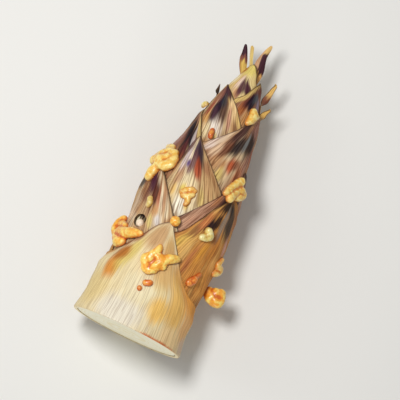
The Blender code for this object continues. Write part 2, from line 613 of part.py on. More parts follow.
def drill_hole(sheath, inside, cutters):
    """The oval hole through a sheath, square to its face."""
    s, turn = HOLE_AT
    s = float(true_s(s, turn))
    middle = to_world(turn, s, float(look_up(inside, turn, s)) + GAP)
    outward = (middle - to_world(0, s, 0)).normalized()
    bm = bmesh.new()
    bmesh.ops.create_cone(bm, cap_ends=True, segments=HOLE_SIDES,
                          radius1=1, radius2=1, depth=HOLE_DEPTH)
    matrix = (Matrix.Translation(middle) @ outward.to_track_quat("Z", "Y").to_matrix().to_4x4()
              @ Matrix.Diagonal((HOLE_ALONG * MM, HOLE_ROUND * MM, MM, 1)))
    cut(sheath, add_cutter("hole_cutter", bm, matrix, cutters))


def flatten_underside(sheaths, cutters):
    """Cut the lowest sheaths off at the resting plane, which leaves a small flat on each."""
    bm = bmesh.new()
    bmesh.ops.create_cube(bm, size=1)
    width, length, depth = GROUND_BLOCK
    matrix = (Matrix.Translation((0, 0, -depth * MM / 2))
              @ Matrix.Diagonal((width * MM, length * MM, depth * MM, 1)))
    ground = add_cutter("ground_cutter", bm, matrix, cutters)
    for sheath in sheaths:
        cut(sheath, ground)


def main():
    for old in list(bpy.data.objects):
        bpy.data.objects.remove(old)
    shoot = bpy.data.collections.new("bamboo_shoot")
    cutters = bpy.data.collections.new("cutters")
    for collection in (shoot, cutters):
        bpy.context.scene.collection.children.link(collection)

    radii = fit_culm()
    grids, below, field = lay_all(radii)
    add_culm(radii, shoot)
    sheaths = {}
    for sheath in SHEATHS:
        name = sheath[0]
        sheaths[name] = add_sheath(sheath, grids[name], shoot)
    for name, (spine, crescent) in BLADES.items():
        add_blade(name, spine, crescent, shoot)
    for name, strokes in CRUMBS.items():
        add_crumb(name, strokes, field, shoot)

    inside = below[HOLED_SHEATH]
    add_crumb("crumb_in_hole", HOLE_CRUMB, inside, shoot)
    drill_hole(sheaths[HOLED_SHEATH], inside, cutters)
    flatten_underside([sheaths[name] for name in LOWEST_SHEATHS], cutters)


main()
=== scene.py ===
"""Looks of the bamboo shoot: fibrous sheaths, cut stem, blades and fried crumbs round the CAD frame.

The shoot has its own frame of s (along the axis from the cut face), a turn round the axis (degrees,
0 on top, positive towards +X) and a radius, all in millimetres.  Each visible sheath is laid on a
fine height field the way the solid is, so it sits where its CAD node sits.
"""

import math

import bmesh
import bpy
import numpy as np
from mathutils import Matrix, Vector, noise


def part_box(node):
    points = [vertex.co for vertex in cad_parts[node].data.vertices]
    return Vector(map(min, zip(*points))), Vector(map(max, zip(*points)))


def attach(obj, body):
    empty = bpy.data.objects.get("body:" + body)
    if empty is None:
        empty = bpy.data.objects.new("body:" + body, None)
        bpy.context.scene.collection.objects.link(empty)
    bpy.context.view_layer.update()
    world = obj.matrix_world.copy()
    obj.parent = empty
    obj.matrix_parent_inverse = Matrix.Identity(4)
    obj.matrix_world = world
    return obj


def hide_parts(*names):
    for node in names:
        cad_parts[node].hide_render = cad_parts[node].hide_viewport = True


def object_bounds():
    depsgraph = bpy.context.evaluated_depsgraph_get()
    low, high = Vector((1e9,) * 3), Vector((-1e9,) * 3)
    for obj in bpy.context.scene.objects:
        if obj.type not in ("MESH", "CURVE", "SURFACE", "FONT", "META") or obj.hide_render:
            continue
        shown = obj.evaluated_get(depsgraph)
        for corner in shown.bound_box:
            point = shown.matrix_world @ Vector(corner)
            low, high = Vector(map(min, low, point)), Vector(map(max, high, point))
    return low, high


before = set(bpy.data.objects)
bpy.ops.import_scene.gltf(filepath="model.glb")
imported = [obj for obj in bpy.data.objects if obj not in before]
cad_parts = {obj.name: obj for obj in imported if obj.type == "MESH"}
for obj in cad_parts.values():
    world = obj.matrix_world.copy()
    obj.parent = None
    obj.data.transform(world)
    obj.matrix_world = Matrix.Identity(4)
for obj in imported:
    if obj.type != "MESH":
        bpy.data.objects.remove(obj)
cad_low, cad_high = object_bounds()

MM = 0.001
TO_MAP = 0.01  # millimetres or degrees to a map's units
BODY = "root"

# ---------------------------------------------------------------- the shoot's frame
TILT = math.radians(2.1)  # how far the axis sinks towards the tip
AXIS_HEIGHT = 43.8  # and its height at the cut face
culm_low, culm_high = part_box("culm")
base_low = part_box("sheath_base")[0]
AXIS_X = (culm_low.x + culm_high.x) / 2 / MM
FOOT_Y = base_low.y / MM + AXIS_HEIGHT * math.tan(TILT)

# (s, radius) of the shoot's outside.
PROFILE = [(0, 44.7), (11, 43.0), (24, 41.8), (55, 40.6), (85, 40.2), (105, 39.2), (118, 37.9),
           (132, 35.0), (146, 31.6), (161, 27.6), (179, 23.2), (188, 20.2), (206, 13.7),
           (217, 8.8), (227, 4.6), (236, 3.0)]
CULM_LENGTH = 204.0
GAP = 0.5  # room between a sheath and what is beneath it
MARGIN = 0.7  # a sheath's thickness at its edge
THINNING = 9.0  # how far from its edge it starts to thin
START_THICKNESS = 0.6  # its thickness where it starts
START_TAPER = 16.0  # and over what length it grows to the full one
WRAP = 7.0  # a first guess of how thick the sheaths lie on the culm
FIT_PASSES = 2
FIT_SMOOTHING = 40
LEAST_CULM_RADIUS = 1.6
FIELD_TURN = 1.0  # spacing of the height field, in degrees and in mm
FIELD_S = 1.0
STEP_FADE = 12.0  # over what length a sheath's edge fades out in the field
SPREAD_TURNS = 80  # and over fewer of its columns than this
EDGE_STEP = 1.5  # spacing of a sheath's columns along its edge
EDGE_SAMPLES = 800
DEPTH_SAMPLES = 260
ROW_STEP = 1.5  # mean spacing of its rows
ROW_CROWDING = 1.25  # above 1 they stand closer together towards the edge
LEAST_ROWS = 12
CRUMB_GAP = 0.15
HOLED_SHEATH = "sheath_left_holed"
HOLE_AT = (81.5, -47.5)  # (s, angle)
HOLE_ALONG = 5.3  # half its length along the shoot and half its width round it
HOLE_ROUND = 6.3
HOLE_CUT_DEPTH = 12.0
HOLE_SIDES = 48
RIM_WAVES = ((3, 1, 0.04), (7, 0, 0.03))  # waves round its rim, their start and their height
FLARE_CURVE = 1.6  # above 1 a rising tip bends more towards its end
# How a sheath stands off: (rise, from s, over what length, angle with none, angle with all).
STAND_OFF = {HOLED_SHEATH: (4.4, 84.0, 42.0, -40.0, -75.0)}
READING_LEAN = math.tan(math.radians(6.1))
READING_TURN = 3.2  # the tables' zero angle is this far past the top

# From the inside out: (name, s where it starts, thickness, flare, left edge, right edge).  An edge
# is a run of (s, angle) from the tip down.  A flare bends the tip out and twists it, and is given
# as (rise, from s, degrees of twist, twist from s, twist to s).
SHEATHS = [
    ("sheath_top", 176, 0.9, None,
     [(227, -28), (225.5, -55), (220, -88), (213, -120), (208, -150), (206, -179)],
     [(227, -28), (225.5, -3), (222.8, 13), (220.5, 24), (216.5, 33), (212.5, 46), (210, 72),
      (208.5, 108), (207, 145), (206, 178)]),
    ("sheath_right_upper", 158, 0.9, None,
     [(216, 60), (212, 32), (207.5, 17), (203, 6), (200, -5), (197, -15), (186, -34), (172, -56)],
     [(216, 60), (210, 86), (199, 116), (185, 150), (174, 176)]),
    ("sheath_back_upper", 146, 0.9, (13.2, 203, 80, 199.5, 208),
     [(220.5, 96), (220, 94), (218, 92), (214, 89.5), (210, 87.5), (207, 86.5), (203, 83),
      (196, 80), (186, 77), (172, 68), (160, 56)],
     [(220.5, 99), (220, 101), (218, 103), (214, 105.5), (210, 107), (207, 107.5), (203, 112),
      (200, 121), (196, 138), (188, 164), (178, 194), (166, 222)]),
    ("sheath_left_upper", 146, 1.0, None,
     [(204.5, -80), (198, -104), (186, -135), (172, -168), (164, -186)],
     [(204.5, -80), (200.5, -37), (196, -17), (191, 0), (182.5, 18), (174, 36), (162, 62)]),
    ("sheath_left_rear", 133, 0.9, (6.0, 193, 75, 193.5, 197.5),
     [(201.5, -115), (200, -117), (198, -119.5), (195, -123), (190, -129), (176, -160),
      (162, -200)],
     [(201.5, -113), (200, -111), (198, -109.5), (195, -108), (185, -107), (165, -106),
      (150, -103), (140, -90)]),
    ("sheath_right_middle", 114, 1.1, (8.4, 192.5, 75, 189.8, 195),
     [(200.5, 72), (200, 70.5), (198, 69), (195.5, 67), (191, 62), (185.5, 43), (179.5, 25),
      (175.5, 17.5), (172, 9), (167, -1.5), (162, -12.5), (157.5, -22), (148, -44), (136, -64)],
     [(200.5, 74.5), (200, 76), (198, 77.5), (195.5, 79), (191, 82), (180, 106), (165, 136),
      (150, 166), (134, 196)]),
    ("sheath_left_middle", 102, 1.1, None,
     [(179, -75), (174, -95), (164, -120), (150, -150), (132, -184)],
     [(179, -75), (171, -53), (159, -31), (150, -14), (140, 5), (126, 28)]),
    ("sheath_back_middle", 92, 1.1, None,
     [(166, 177), (156, 152), (141, 124), (120, 96)],
     [(166, 177), (156, 202), (141, 232), (120, 262)]),
    ("sheath_centre", 74, 1.2, None,
     [(159.5, -32), (153, -36.5), (140, -38), (124, -39), (108, -43), (90, -54)],
     [(159.5, -32), (149, -10), (139, 9), (129, 26), (118, 42), (104, 63), (88, 85)]),
    ("sheath_right_band", 54, 1.2, None,
     [(149.5, 63), (138, 47), (126, 30), (111, 11), (98, -5), (88, -22), (78, -48), (68, -80)],
     [(149.5, 63), (144, 82), (134, 102), (118, 132), (100, 165), (80, 198)]),
    ("sheath_left_holed", 44, 1.5, None,
     [(126, -60), (122, -75), (112, -97), (98, -126), (84, -156), (68, -188)],
     [(126, -60), (121, -45), (112, -31), (98, -13), (91, -4), (82, 10), (72, 34), (58, 66)]),
    ("sheath_back_lower", 28, 1.8, None,
     [(119, 172), (110, 148), (95, 121), (78, 94), (58, 64)],
     [(119, 172), (110, 195), (95, 222), (78, 250), (58, 280)]),
    ("sheath_right_lower", 8, 1.7, None,
     [(128.5, 52), (115, 28), (102, 17), (89, 5), (84, -4), (75, -16), (64, -30), (52, -50),
      (42, -73), (34, -105), (26, -144)],
     [(128.5, 52), (123, 70), (112, 90), (97, 114), (80, 146), (62, 178), (48, 200), (40, 214)]),
    ("sheath_base", 0, 3.2, None,
     [(92, -8), (85, -20.5), (74, -32), (60, -52), (51, -72), (45, -100), (38, -140), (32, -180),
      (29, -214)],
     [(92, -8), (85.5, -3), (71, 11), (54, 30), (46, 48), (39, 75), (33, 110), (29, 144.8)]),
]

# Each blade's spine as rows of (s, x, z, width, degrees of twist), and how far the middle of a
# stretch of the usual width bows out.
BLADES = {
    "blade_left": ([(206.6, -1.8, -3.4, 3.0, 0), (213, -4.2, -3.8, 4.4, -8),
                    (218.6, -7.3, -4.2, 6.0, -12), (222.6, -9.4, -4.0, 6.4, -10),
                    (227, -11.1, -3.4, 6.4, -8), (231, -12.2, -3.0, 4.9, -6),
                    (234.5, -13.3, -2.7, 3.7, -4), (237.5, -14.3, -2.5, 2.3, 0),
                    (238.5, -14.6, -2.4, 1.1, 0)], 0.9),
    "blade_thin": ([(206.6, -1.6, 1.4, 2.0, 0), (214, -2.0, 1.3, 2.6, 0), (221, -3.0, 0.8, 2.7, 0),
                    (225.3, -4.2, 0.3, 2.7, 0), (229.5, -6.1, 0.2, 2.7, 0),
                    (234.5, -8.0, 0.2, 2.9, 0), (237.6, -9.1, 0.2, 2.9, 0),
                    (238.8, -9.5, 0.2, 2.0, 0), (239.3, -9.7, 0.2, 0.8, 0)], 0.25),
    "blade_right": ([(206.6, 2.0, -1.6, 3.8, 0), (210, 2.3, -1.6, 5.4, 0),
                     (213, 2.6, -1.5, 6.8, 0), (217, 2.8, -1.4, 8.0, 0),
                     (221.4, 3.0, -1.3, 8.4, 3), (225.5, 2.6, -1.1, 8.6, 6),
                     (228, 2.1, -0.7, 8.4, 8), (230.5, 1.7, -0.2, 7.6, 8),
                     (235, 1.6, 0.8, 5.4, 6), (238, 2.0, 1.3, 4.6, 4), (241.3, 2.7, 1.9, 3.8, 2),
                     (244, 3.3, 2.4, 2.6, 0), (245.3, 3.5, 2.6, 1.2, 0)], 1.2),
}
BLADE_USUAL_WIDTH = 6
BLADE_THICKNESS = 0.85
BLADE_EDGE_SHARE = 0.35  # its edge's thickness as a share of that
BLADE_COLUMNS = 12
BLADE_ROWS = 60

# Crumb clumps: each has a finish and strokes, and a stroke is a run of points joined by a lobe of
# changing thickness, given as (s, angle, radius, lift of the lobe's middle above the sheath).
CRUMBS = {
    "crumb_left_large": ("golden", [
        [(77, -86, 2.9, 1.9), (71.5, -86, 3.5, 3.4), (67.5, -86, 3.7, 3.0), (64.5, -80, 3.8, 1.2)],
        [(62, -72, 3.9, 1.2), (59.5, -63, 4.3, 1.3), (60.5, -56, 3.5, 1.0)],
        [(66.5, -74, 3.9, 1.2), (68, -57, 4.3, 1.3), (70.5, -46, 3.9, 1.1), (72, -38, 2.9, 0.9),
         (72.5, -34, 2.0, 0.6)],
        [(72.5, -86, 3.8, 0.8), (72, -67, 2.8, 0.6)]]),
    "crumb_centre_large": ("golden", [
        [(57, -16, 3.7, 1.1), (59.5, -12, 3.9, 1.2), (63, -10, 3.5, 1.1), (67, -8, 2.9, 0.9),
         (69.5, -8, 2.3, 0.6)],
        [(57, -16, 3.7, 1.0), (51, -12, 3.5, 1.1), (50, -8, 3.2, 0.9), (52.5, -5, 3.7, 1.1),
         (57, -3, 4.0, 1.2)],
        [(62.5, -6, 3.5, 1.1), (60, -1, 3.9, 1.2), (57.5, 2, 3.4, 1.0)],
        [(61, 0, 3.7, 1.1), (64.5, 5, 3.5, 1.0), (66.5, 10, 3.1, 0.9), (67.5, 15, 1.8, 0.5)],
        [(55.5, -12, 3.0, 0.6), (55.5, -7, 3.2, 0.6), (59, -6, 3.2, 0.7)]]),
    "crumb_drop_upper": ("deep", [[(40.5, -6, 2.3, 0.6), (42, -2, 2.4, 0.7)]]),
    "crumb_drop_lower": ("deep", [[(35, -9, 2.1, 0.5)]]),
    "crumb_top_left_large": ("yellow", [
        [(127.5, -86, 3.9, 2.6), (130.5, -84, 4.2, 1.3), (134.5, -68, 4.5, 1.3), (138, -60, 4.3, 1.3),
         (137.5, -51, 3.9, 1.1)],
        [(141, -82, 2.6, 0.8), (141.5, -66, 3.2, 1.0)],
        [(138, -51, 3.9, 1.1), (134.5, -45, 3.5, 1.0), (130, -44, 3.9, 1.1), (126.5, -49, 3.9, 1.2),
         (126, -59, 3.6, 1.0)],
        [(128, -67, 3.9, 1.1), (130, -58, 4.3, 1.3), (133, -53, 4.0, 1.2)],
        [(123, -60, 3.6, 0.9), (119, -62, 3.9, 1.1), (114.5, -64, 3.6, 0.9)]]),
    "crumb_ball": ("golden", [[(92.5, -6, 4.0, 1.6)]]),
    "crumb_flat_centre": ("yellow", [
        [(115, -15, 2.0, 0.1), (117.5, -11, 2.5, 0.1), (119.5, -6, 2.3, 0.1), (119.5, -2, 1.8, 0.1)],
        [(113, -12, 2.2, 0.1), (114, -6, 2.8, 0.1), (116.5, -2, 2.2, 0.1)],
        [(114, -6, 2.5, 0.1), (111, -4, 2.3, 0.1), (107.5, -5, 1.8, 0.0)]]),
    "crumb_right_cluster": ("yellow", [
        [(128.5, 32, 2.2, 0.6), (132, 36, 2.6, 0.7), (135, 41, 2.9, 0.8), (138.5, 47, 3.1, 0.9),
         (141.5, 53, 3.7, 1.1)],
        [(126.5, 40, 3.4, 1.0), (130, 44, 3.2, 0.9), (133.5, 50, 3.1, 0.9), (135, 57, 3.9, 1.1),
         (133, 63, 3.9, 1.2), (130.5, 56, 3.4, 1.0), (128.5, 50, 2.4, 0.6)]]),
    "crumb_pale_cluster": ("pale", [
        [(97, 31, 3.1, 0.8), (93.5, 35, 3.3, 0.9), (91.5, 31, 2.9, 0.7), (90.5, 27, 2.7, 0.7)]]),
    "crumb_tailed": ("deep", [
        [(55.5, 39, 3.0, 0.6), (57.5, 42, 3.2, 0.6), (60, 44, 2.4, 0.5), (62, 46, 1.6, 0.3),
         (64.5, 49, 1.7, 0.3)]]),
    "crumb_small_rim": ("pale", [[(183, -79, 2.7, 0.6), (181.5, -84, 2.2, 0.4)]]),
    "crumb_blade_foot": ("yellow", [
        [(193.5, 42, 3.0, 0.6), (190.5, 43, 3.8, 0.8), (187, 37, 3.3, 0.7), (184, 31, 2.1, 0.4)],
        [(190.5, 43, 3.6, 0.7), (191, 50, 2.8, 0.6)]]),
    "crumb_lens": ("deep", [[(167.5, -21, 1.8, 0.0), (164.5, -19, 2.0, 0.0), (162, -17, 1.5, 0.0)]]),
    "crumb_left_bump": ("pale", [[(99.5, -47, 2.3, 0.2), (97, -44, 2.2, 0.2), (94.5, -45, 2.0, 0.2)]]),
    "crumb_right_edge": ("yellow", [
        [(81.5, 79, 1.9, 0.6), (77, 74, 2.7, 0.7), (73, 84, 3.4, 1.4), (70, 76, 2.5, 0.6)]]),
    "crumb_right_low": ("golden", [
        [(55, 90, 4.4, 2.4), (52, 88, 4.0, 6.0), (56.5, 88, 4.4, 8.0), (58, 88, 3.9, 11.0)],
        [(52, 88, 4.4, 6.0), (51.5, 88, 4.8, 9.4), (50.5, 88, 3.6, 12.8), (55.5, 88, 3.6, 12.8)]]),
    "crumb_in_hole": ("white", [[(79.8, -45.2, 3.1, 0.9)]]),
}
CRUMB_CELL = 0.9  # finest mesh size of a crumb
CRUMB_CELL_SHARE = 0.2  # and as a share of its lobes' mean radius
METABALL_THRESHOLD = 0.1
METABALL_STIFFNESS = 3.0
METABALL_SPREAD = 1.3
LOBE_SPACING = 0.5  # a stroke's lobes are this share of their radius apart
SMOOTHING_PASSES = 4
SMOOTHING = 0.5
CREASE_STEPS = 8  # rounds of averaging that a crease's depth is measured against
CREASE_LIMIT = 3
KNOB = (3.2, 0.5)  # the size and the height of a crumb's knobs
SWELL = (4.5, 0.4)
BUMP = (1.5, 0.12)

LATTICE = 64  # entries along each side of a table of random values
TURNS = np.arange(-180.0, 180.0, FIELD_TURN)
STATIONS = np.arange(0.0, 231.0, FIELD_S)


def curve_through(points):
    """A smooth curve without overshoot through (x, value) points, straight on beyond its ends."""
    xs, ys = (np.array(column, float) for column in zip(*sorted(points)))
    slopes = np.diff(ys) / np.diff(xs)
    inner = np.where(slopes[1:] * slopes[:-1] > 0,
                     2 * slopes[1:] * slopes[:-1] / (slopes[1:] + slopes[:-1] + 1e-12), 0.0)
    tangents = np.concatenate([slopes[:1], inner, slopes[-1:]])

    def value(x):
        x = np.asarray(x, float)
        k = np.clip(np.searchsorted(xs, x) - 1, 0, len(xs) - 2)
        width = xs[k + 1] - xs[k]
        t = np.clip((x - xs[k]) / width, 0, 1)
        curve = ((1 + 2 * t) * (1 - t) ** 2 * ys[k] + t * (1 - t) ** 2 * width * tangents[k]
                 + t * t * (3 - 2 * t) * ys[k + 1] - t * t * (1 - t) * width * tangents[k + 1])
        beyond = np.maximum(x - xs[-1], 0) * tangents[-1] + np.minimum(x - xs[0], 0) * tangents[0]
        return curve + beyond
    return value


def smoothstep(x):
    x = np.clip(x, 0, 1)
    return x * x * (3 - 2 * x)


outer_profile = curve_through(PROFILE)


def true_s(s, turn, lift=0.0):
    """The s of a place, as the tables read s along a line that leans from square to the axis."""
    above = np.maximum(np.cos(np.radians(turn)), 0) * (outer_profile(s) + lift)
    return s - above * READING_LEAN


SHEATHS = [(*sheath[:4], *([(float(true_s(s, turn)), turn) for s, turn in side]
                           for side in sheath[4:])) for sheath in SHEATHS]


def edge_curves(sheath):
    """The s of a sheath's left and right edge as curves over the angle."""
    return [curve_through([(angle, s) for s, angle in side]) for side in sheath[4:]]


def edge_height(sheath, turn):
    """The s at which the sheath ends at an angle."""
    left_curve, right_curve = edge_curves(sheath)
    return np.where(turn < sheath[4][0][1], left_curve(turn), right_curve(turn))


def blend(corners, x, y):
    """The value at x and y between those at four corners."""
    a, b, c, d = corners
    return (a * (1 - x) + b * x) * (1 - y) + (c * (1 - x) + d * x) * y


def look_up(field, turn, s):
    """The field's value at a point, blended between its nearest entries."""
    column = np.mod(np.asarray(turn, float) + 180, 360) / FIELD_TURN
    row = np.clip(np.asarray(s, float) / FIELD_S, 0, len(STATIONS) - 1.001)
    c0 = np.floor(column).astype(int)
    r0 = np.floor(row).astype(int)
    corners = [field[(c0 + dc) % len(TURNS), r0 + dr] for dr in (0, 1) for dc in (0, 1)]
    return blend(corners, column - c0, row - r0)


def to_world(turn, s, radius):
    """Points of the shoot's own frame as metres above the resting plane, in the last axis."""
    angle = np.radians(turn + READING_TURN)
    x = radius * np.sin(angle)
    up = radius * np.cos(angle)
    y = s * math.cos(TILT) + up * math.sin(TILT)
    z = AXIS_HEIGHT - s * math.sin(TILT) + up * math.cos(TILT)
    z = np.maximum(z, 0.0)
    return np.stack(np.broadcast_arrays(x + AXIS_X, y + FOOT_Y, z), axis=-1) * MM


def to_shoot(points):
    """World points in the shoot's own frame: angle, s and radius."""
    x = points[..., 0] / MM - AXIS_X
    y = points[..., 1] / MM - FOOT_Y
    dz = points[..., 2] / MM - AXIS_HEIGHT
    s = y * math.cos(TILT) - dz * math.sin(TILT)
    up = y * math.sin(TILT) + dz * math.cos(TILT)
    return np.degrees(np.arctan2(x, up)) - READING_TURN, s, np.hypot(x, up)


def lattice_noise(x, y, seed):
    """Smooth noise from -1 to 1 over a plane, the same on every run."""
    table = np.random.default_rng(seed).uniform(-1, 1, (LATTICE, LATTICE))
    x0, y0 = np.floor(x).astype(int), np.floor(y).astype(int)
    corners = [table[(x0 + dx) % LATTICE, (y0 + dy) % LATTICE] for dy in (0, 1) for dx in (0, 1)]
    return blend(corners, smoothstep(x - x0), smoothstep(y - y0))


# ---------------------------------------------------------------- laying the sheaths

def column_angles(sheath):
    """Angles of a sheath's columns, spaced evenly along its edge and with one at its tip."""
    left, right = sheath[4:]
    curves = edge_curves(sheath)
    sides = []
    for side, curve in zip((left[::-1], right), curves):
        dense = np.linspace(side[0][1], side[-1][1], EDGE_SAMPLES)
        height = curve(dense)
        arc = np.hypot(np.diff(dense) * math.pi / 180 * outer_profile(height[1:]), np.diff(height))
        length = np.concatenate([[0], np.cumsum(arc)])
        count = max(2, round(length[-1] / EDGE_STEP))
        sides.append(np.interp(np.linspace(0, length[-1], count + 1), length, dense))
    if abs(sides[0][-1] - sides[1][0]) < 1e-6:
        return np.concatenate([sides[0], sides[1][1:]])
    return np.concatenate(sides)


def lay_sheath(sheath, field):
    """The grid of a sheath laid on the field: angle, s, inner radius and thickness."""
    first, body = sheath[1:3]
    angles = column_angles(sheath)
    top = edge_height(sheath, angles)
    rows = max(LEAST_ROWS, round((top.max() - first) / ROW_STEP))
    share = np.linspace(0, 1, rows + 1)[:, None]
    s = first + (top[None, :] - first) * (1 - (1 - share) ** ROW_CROWDING)
    turn = np.repeat(angles[None, :], rows + 1, axis=0)
    depth = edge_depths(sheath, turn, s)
    thick = MARGIN + (body - MARGIN) * smoothstep(np.minimum(*depth) / THINNING)
    if first:
        begun = smoothstep((s - first) / START_TAPER)
        thick = START_THICKNESS + (thick - START_THICKNESS) * begun
    inner = look_up(field, turn, s) + GAP + stand_off(sheath[0], turn, s)
    return turn, s, inner, thick, depth


def stand_off(name, turn, s):
    """How far a sheath stands clear of what is beneath it, towards its tip on one side."""
    if name not in STAND_OFF:
        return 0.0
    rise, from_s, reach, none_at, full_at = STAND_OFF[name]
    share = np.clip((s - from_s) / reach, 0, 1) ** FLARE_CURVE
    return rise * share * smoothstep((turn - none_at) / (full_at - none_at))


def edge_depths(sheath, turn, s):
    """Distances along the surface from each point to the sheath's left and right edge."""
    found = []
    radius = outer_profile(s)
    for side, curve in zip(sheath[4:], edge_curves(sheath)):
        reach = np.linspace(side[0][1], side[-1][1], DEPTH_SAMPLES)
        height = curve(reach)
        best = np.full(turn.shape, 1e9)
        for angle, at in zip(reach, height):
            across = (turn - angle) * math.pi / 180 * radius
            best = np.minimum(best, across ** 2 + (s - at) ** 2)
        found.append(np.sqrt(best))
    return found


def raise_field(field, sheath, grid):
    """Raise the field to a grid's outer face, and fade the step out beyond its edges."""
    turn, s, inner, thick = grid[:4]
    outer = inner + thick
    rows = len(outer) - 1
    angles = turn[0]
    rise = np.zeros_like(field)
    for column, angle in enumerate(TURNS):
        near = angles[0] + (angle - angles[0]) % 360
        if near > angles[-1]:
            continue
        at = min(np.interp(near, angles, np.arange(len(angles))), len(angles) - 1.001)
        c0 = int(at)
        weights = np.array([c0 + 1 - at, at - c0])
        heights = s[:, c0:c0 + 2] @ weights
        reached = np.interp(STATIONS, heights, outer[:, c0:c0 + 2] @ weights)
        inside = (STATIONS > heights[0] - FIELD_S) & (STATIONS < heights[rows] + FIELD_S)
        rise[column] = np.where(inside, np.maximum(reached - field[column], 0), 0)
    spread = rise.copy()
    cell = outer_profile(STATIONS) * math.radians(FIELD_TURN)
    for shift in range(1, SPREAD_TURNS):
        fade = smoothstep(1 - shift * cell / STEP_FADE)[None, :]
        for way in (-shift, shift):
            spread = np.maximum(spread, np.roll(rise, way, axis=0) * fade)
    wide = spread.copy()
    for shift in range(1, int(STEP_FADE / FIELD_S)):
        fade = float(smoothstep(1 - shift * FIELD_S / STEP_FADE))
        wide[:, shift:] = np.maximum(wide[:, shift:], spread[:, :-shift] * fade)
        wide[:, :-shift] = np.maximum(wide[:, :-shift], spread[:, shift:] * fade)
    return field + wide


def lay_all(culm_radius):
    """Every sheath's grid and the field beneath it, on a culm of these radii."""
    field = np.tile(culm_radius, (len(TURNS), 1))
    grids, below = {}, {}
    for sheath in SHEATHS:
        name = sheath[0]
        below[name] = field
        grids[name] = lay_sheath(sheath, field)
        field = raise_field(field, sheath, grids[name])
    return grids, below, field


def fit_culm():
    """Radii of the culm at each station that bring the sheaths out to the profile on average."""
    radii = outer_profile(STATIONS) - WRAP
    for _ in range(FIT_PASSES):
        excess = lay_all(radii)[2].mean(axis=0) - outer_profile(STATIONS)
        for _ in range(FIT_SMOOTHING):
            excess[1:-1] = (excess[:-2] + excess[2:]) / 2
        radii = np.maximum(radii - excess, LEAST_CULM_RADIUS)
    return radii


# How strongly a sheath's fibres run together: a low number keeps them parallel to the axis.
CONVERGENCE = {"sheath_base": 42.0, "sheath_right_lower": 75.0, "sheath_left_holed": 70.0}
USUAL_CONVERGENCE = 90.0
TIP_HALF_WIDTH = 1.2  # in degrees
FIBRE_SPREAD = 2.2  # half a sheath's usual width over its convergence
FIBRE_SCALE = 0.68  # millimetres in a degree


def fibre_coordinate(sheath, turn, s):
    """Which fibre of the sheath a point is on, as millimetres across the sheath's full width."""
    left, right = sheath[4:]
    tip = (left[0][1] + right[0][1]) / 2
    cap = CONVERGENCE.get(sheath[0], USUAL_CONVERGENCE)
    wide = cap * (1 - math.exp(-FIBRE_SPREAD)) * FIBRE_SCALE
    found = np.zeros_like(turn)
    for side, way in ((left, -1), (right, 1)):
        spread = curve_through([(height, (angle - tip) * way) for height, angle in side])
        half = cap * (1 - np.exp(-(np.maximum(spread(s), 0.0) + TIP_HALF_WIDTH) / cap))
        found = np.where((turn - tip) * way >= 0, (turn - tip) / half * wide, found)
    return found


def fibre_stretch(sheath, s, turn):
    """How much the fibre coordinate changes over a millimetre across the fibres at a place."""
    low, high = fibre_coordinate(sheath, np.array([turn - 1.0, turn + 1.0]), np.full(2, s))
    return float(high - low) / (math.radians(2.0) * float(outer_profile(s)))


# ---------------------------------------------------------------- materials

def srgb(red, green, blue):
    """A colour given as 0-255 sRGB values, as the linear values that Blender takes."""
    values = []
    for value in (red, green, blue):
        value /= 255
        values.append(value / 12.92 if value <= 0.04045 else ((value + 0.055) / 1.055) ** 2.4)
    return (*values, 1.0)


SEED_SHIFT = (7.31, 3.17, 1.73)


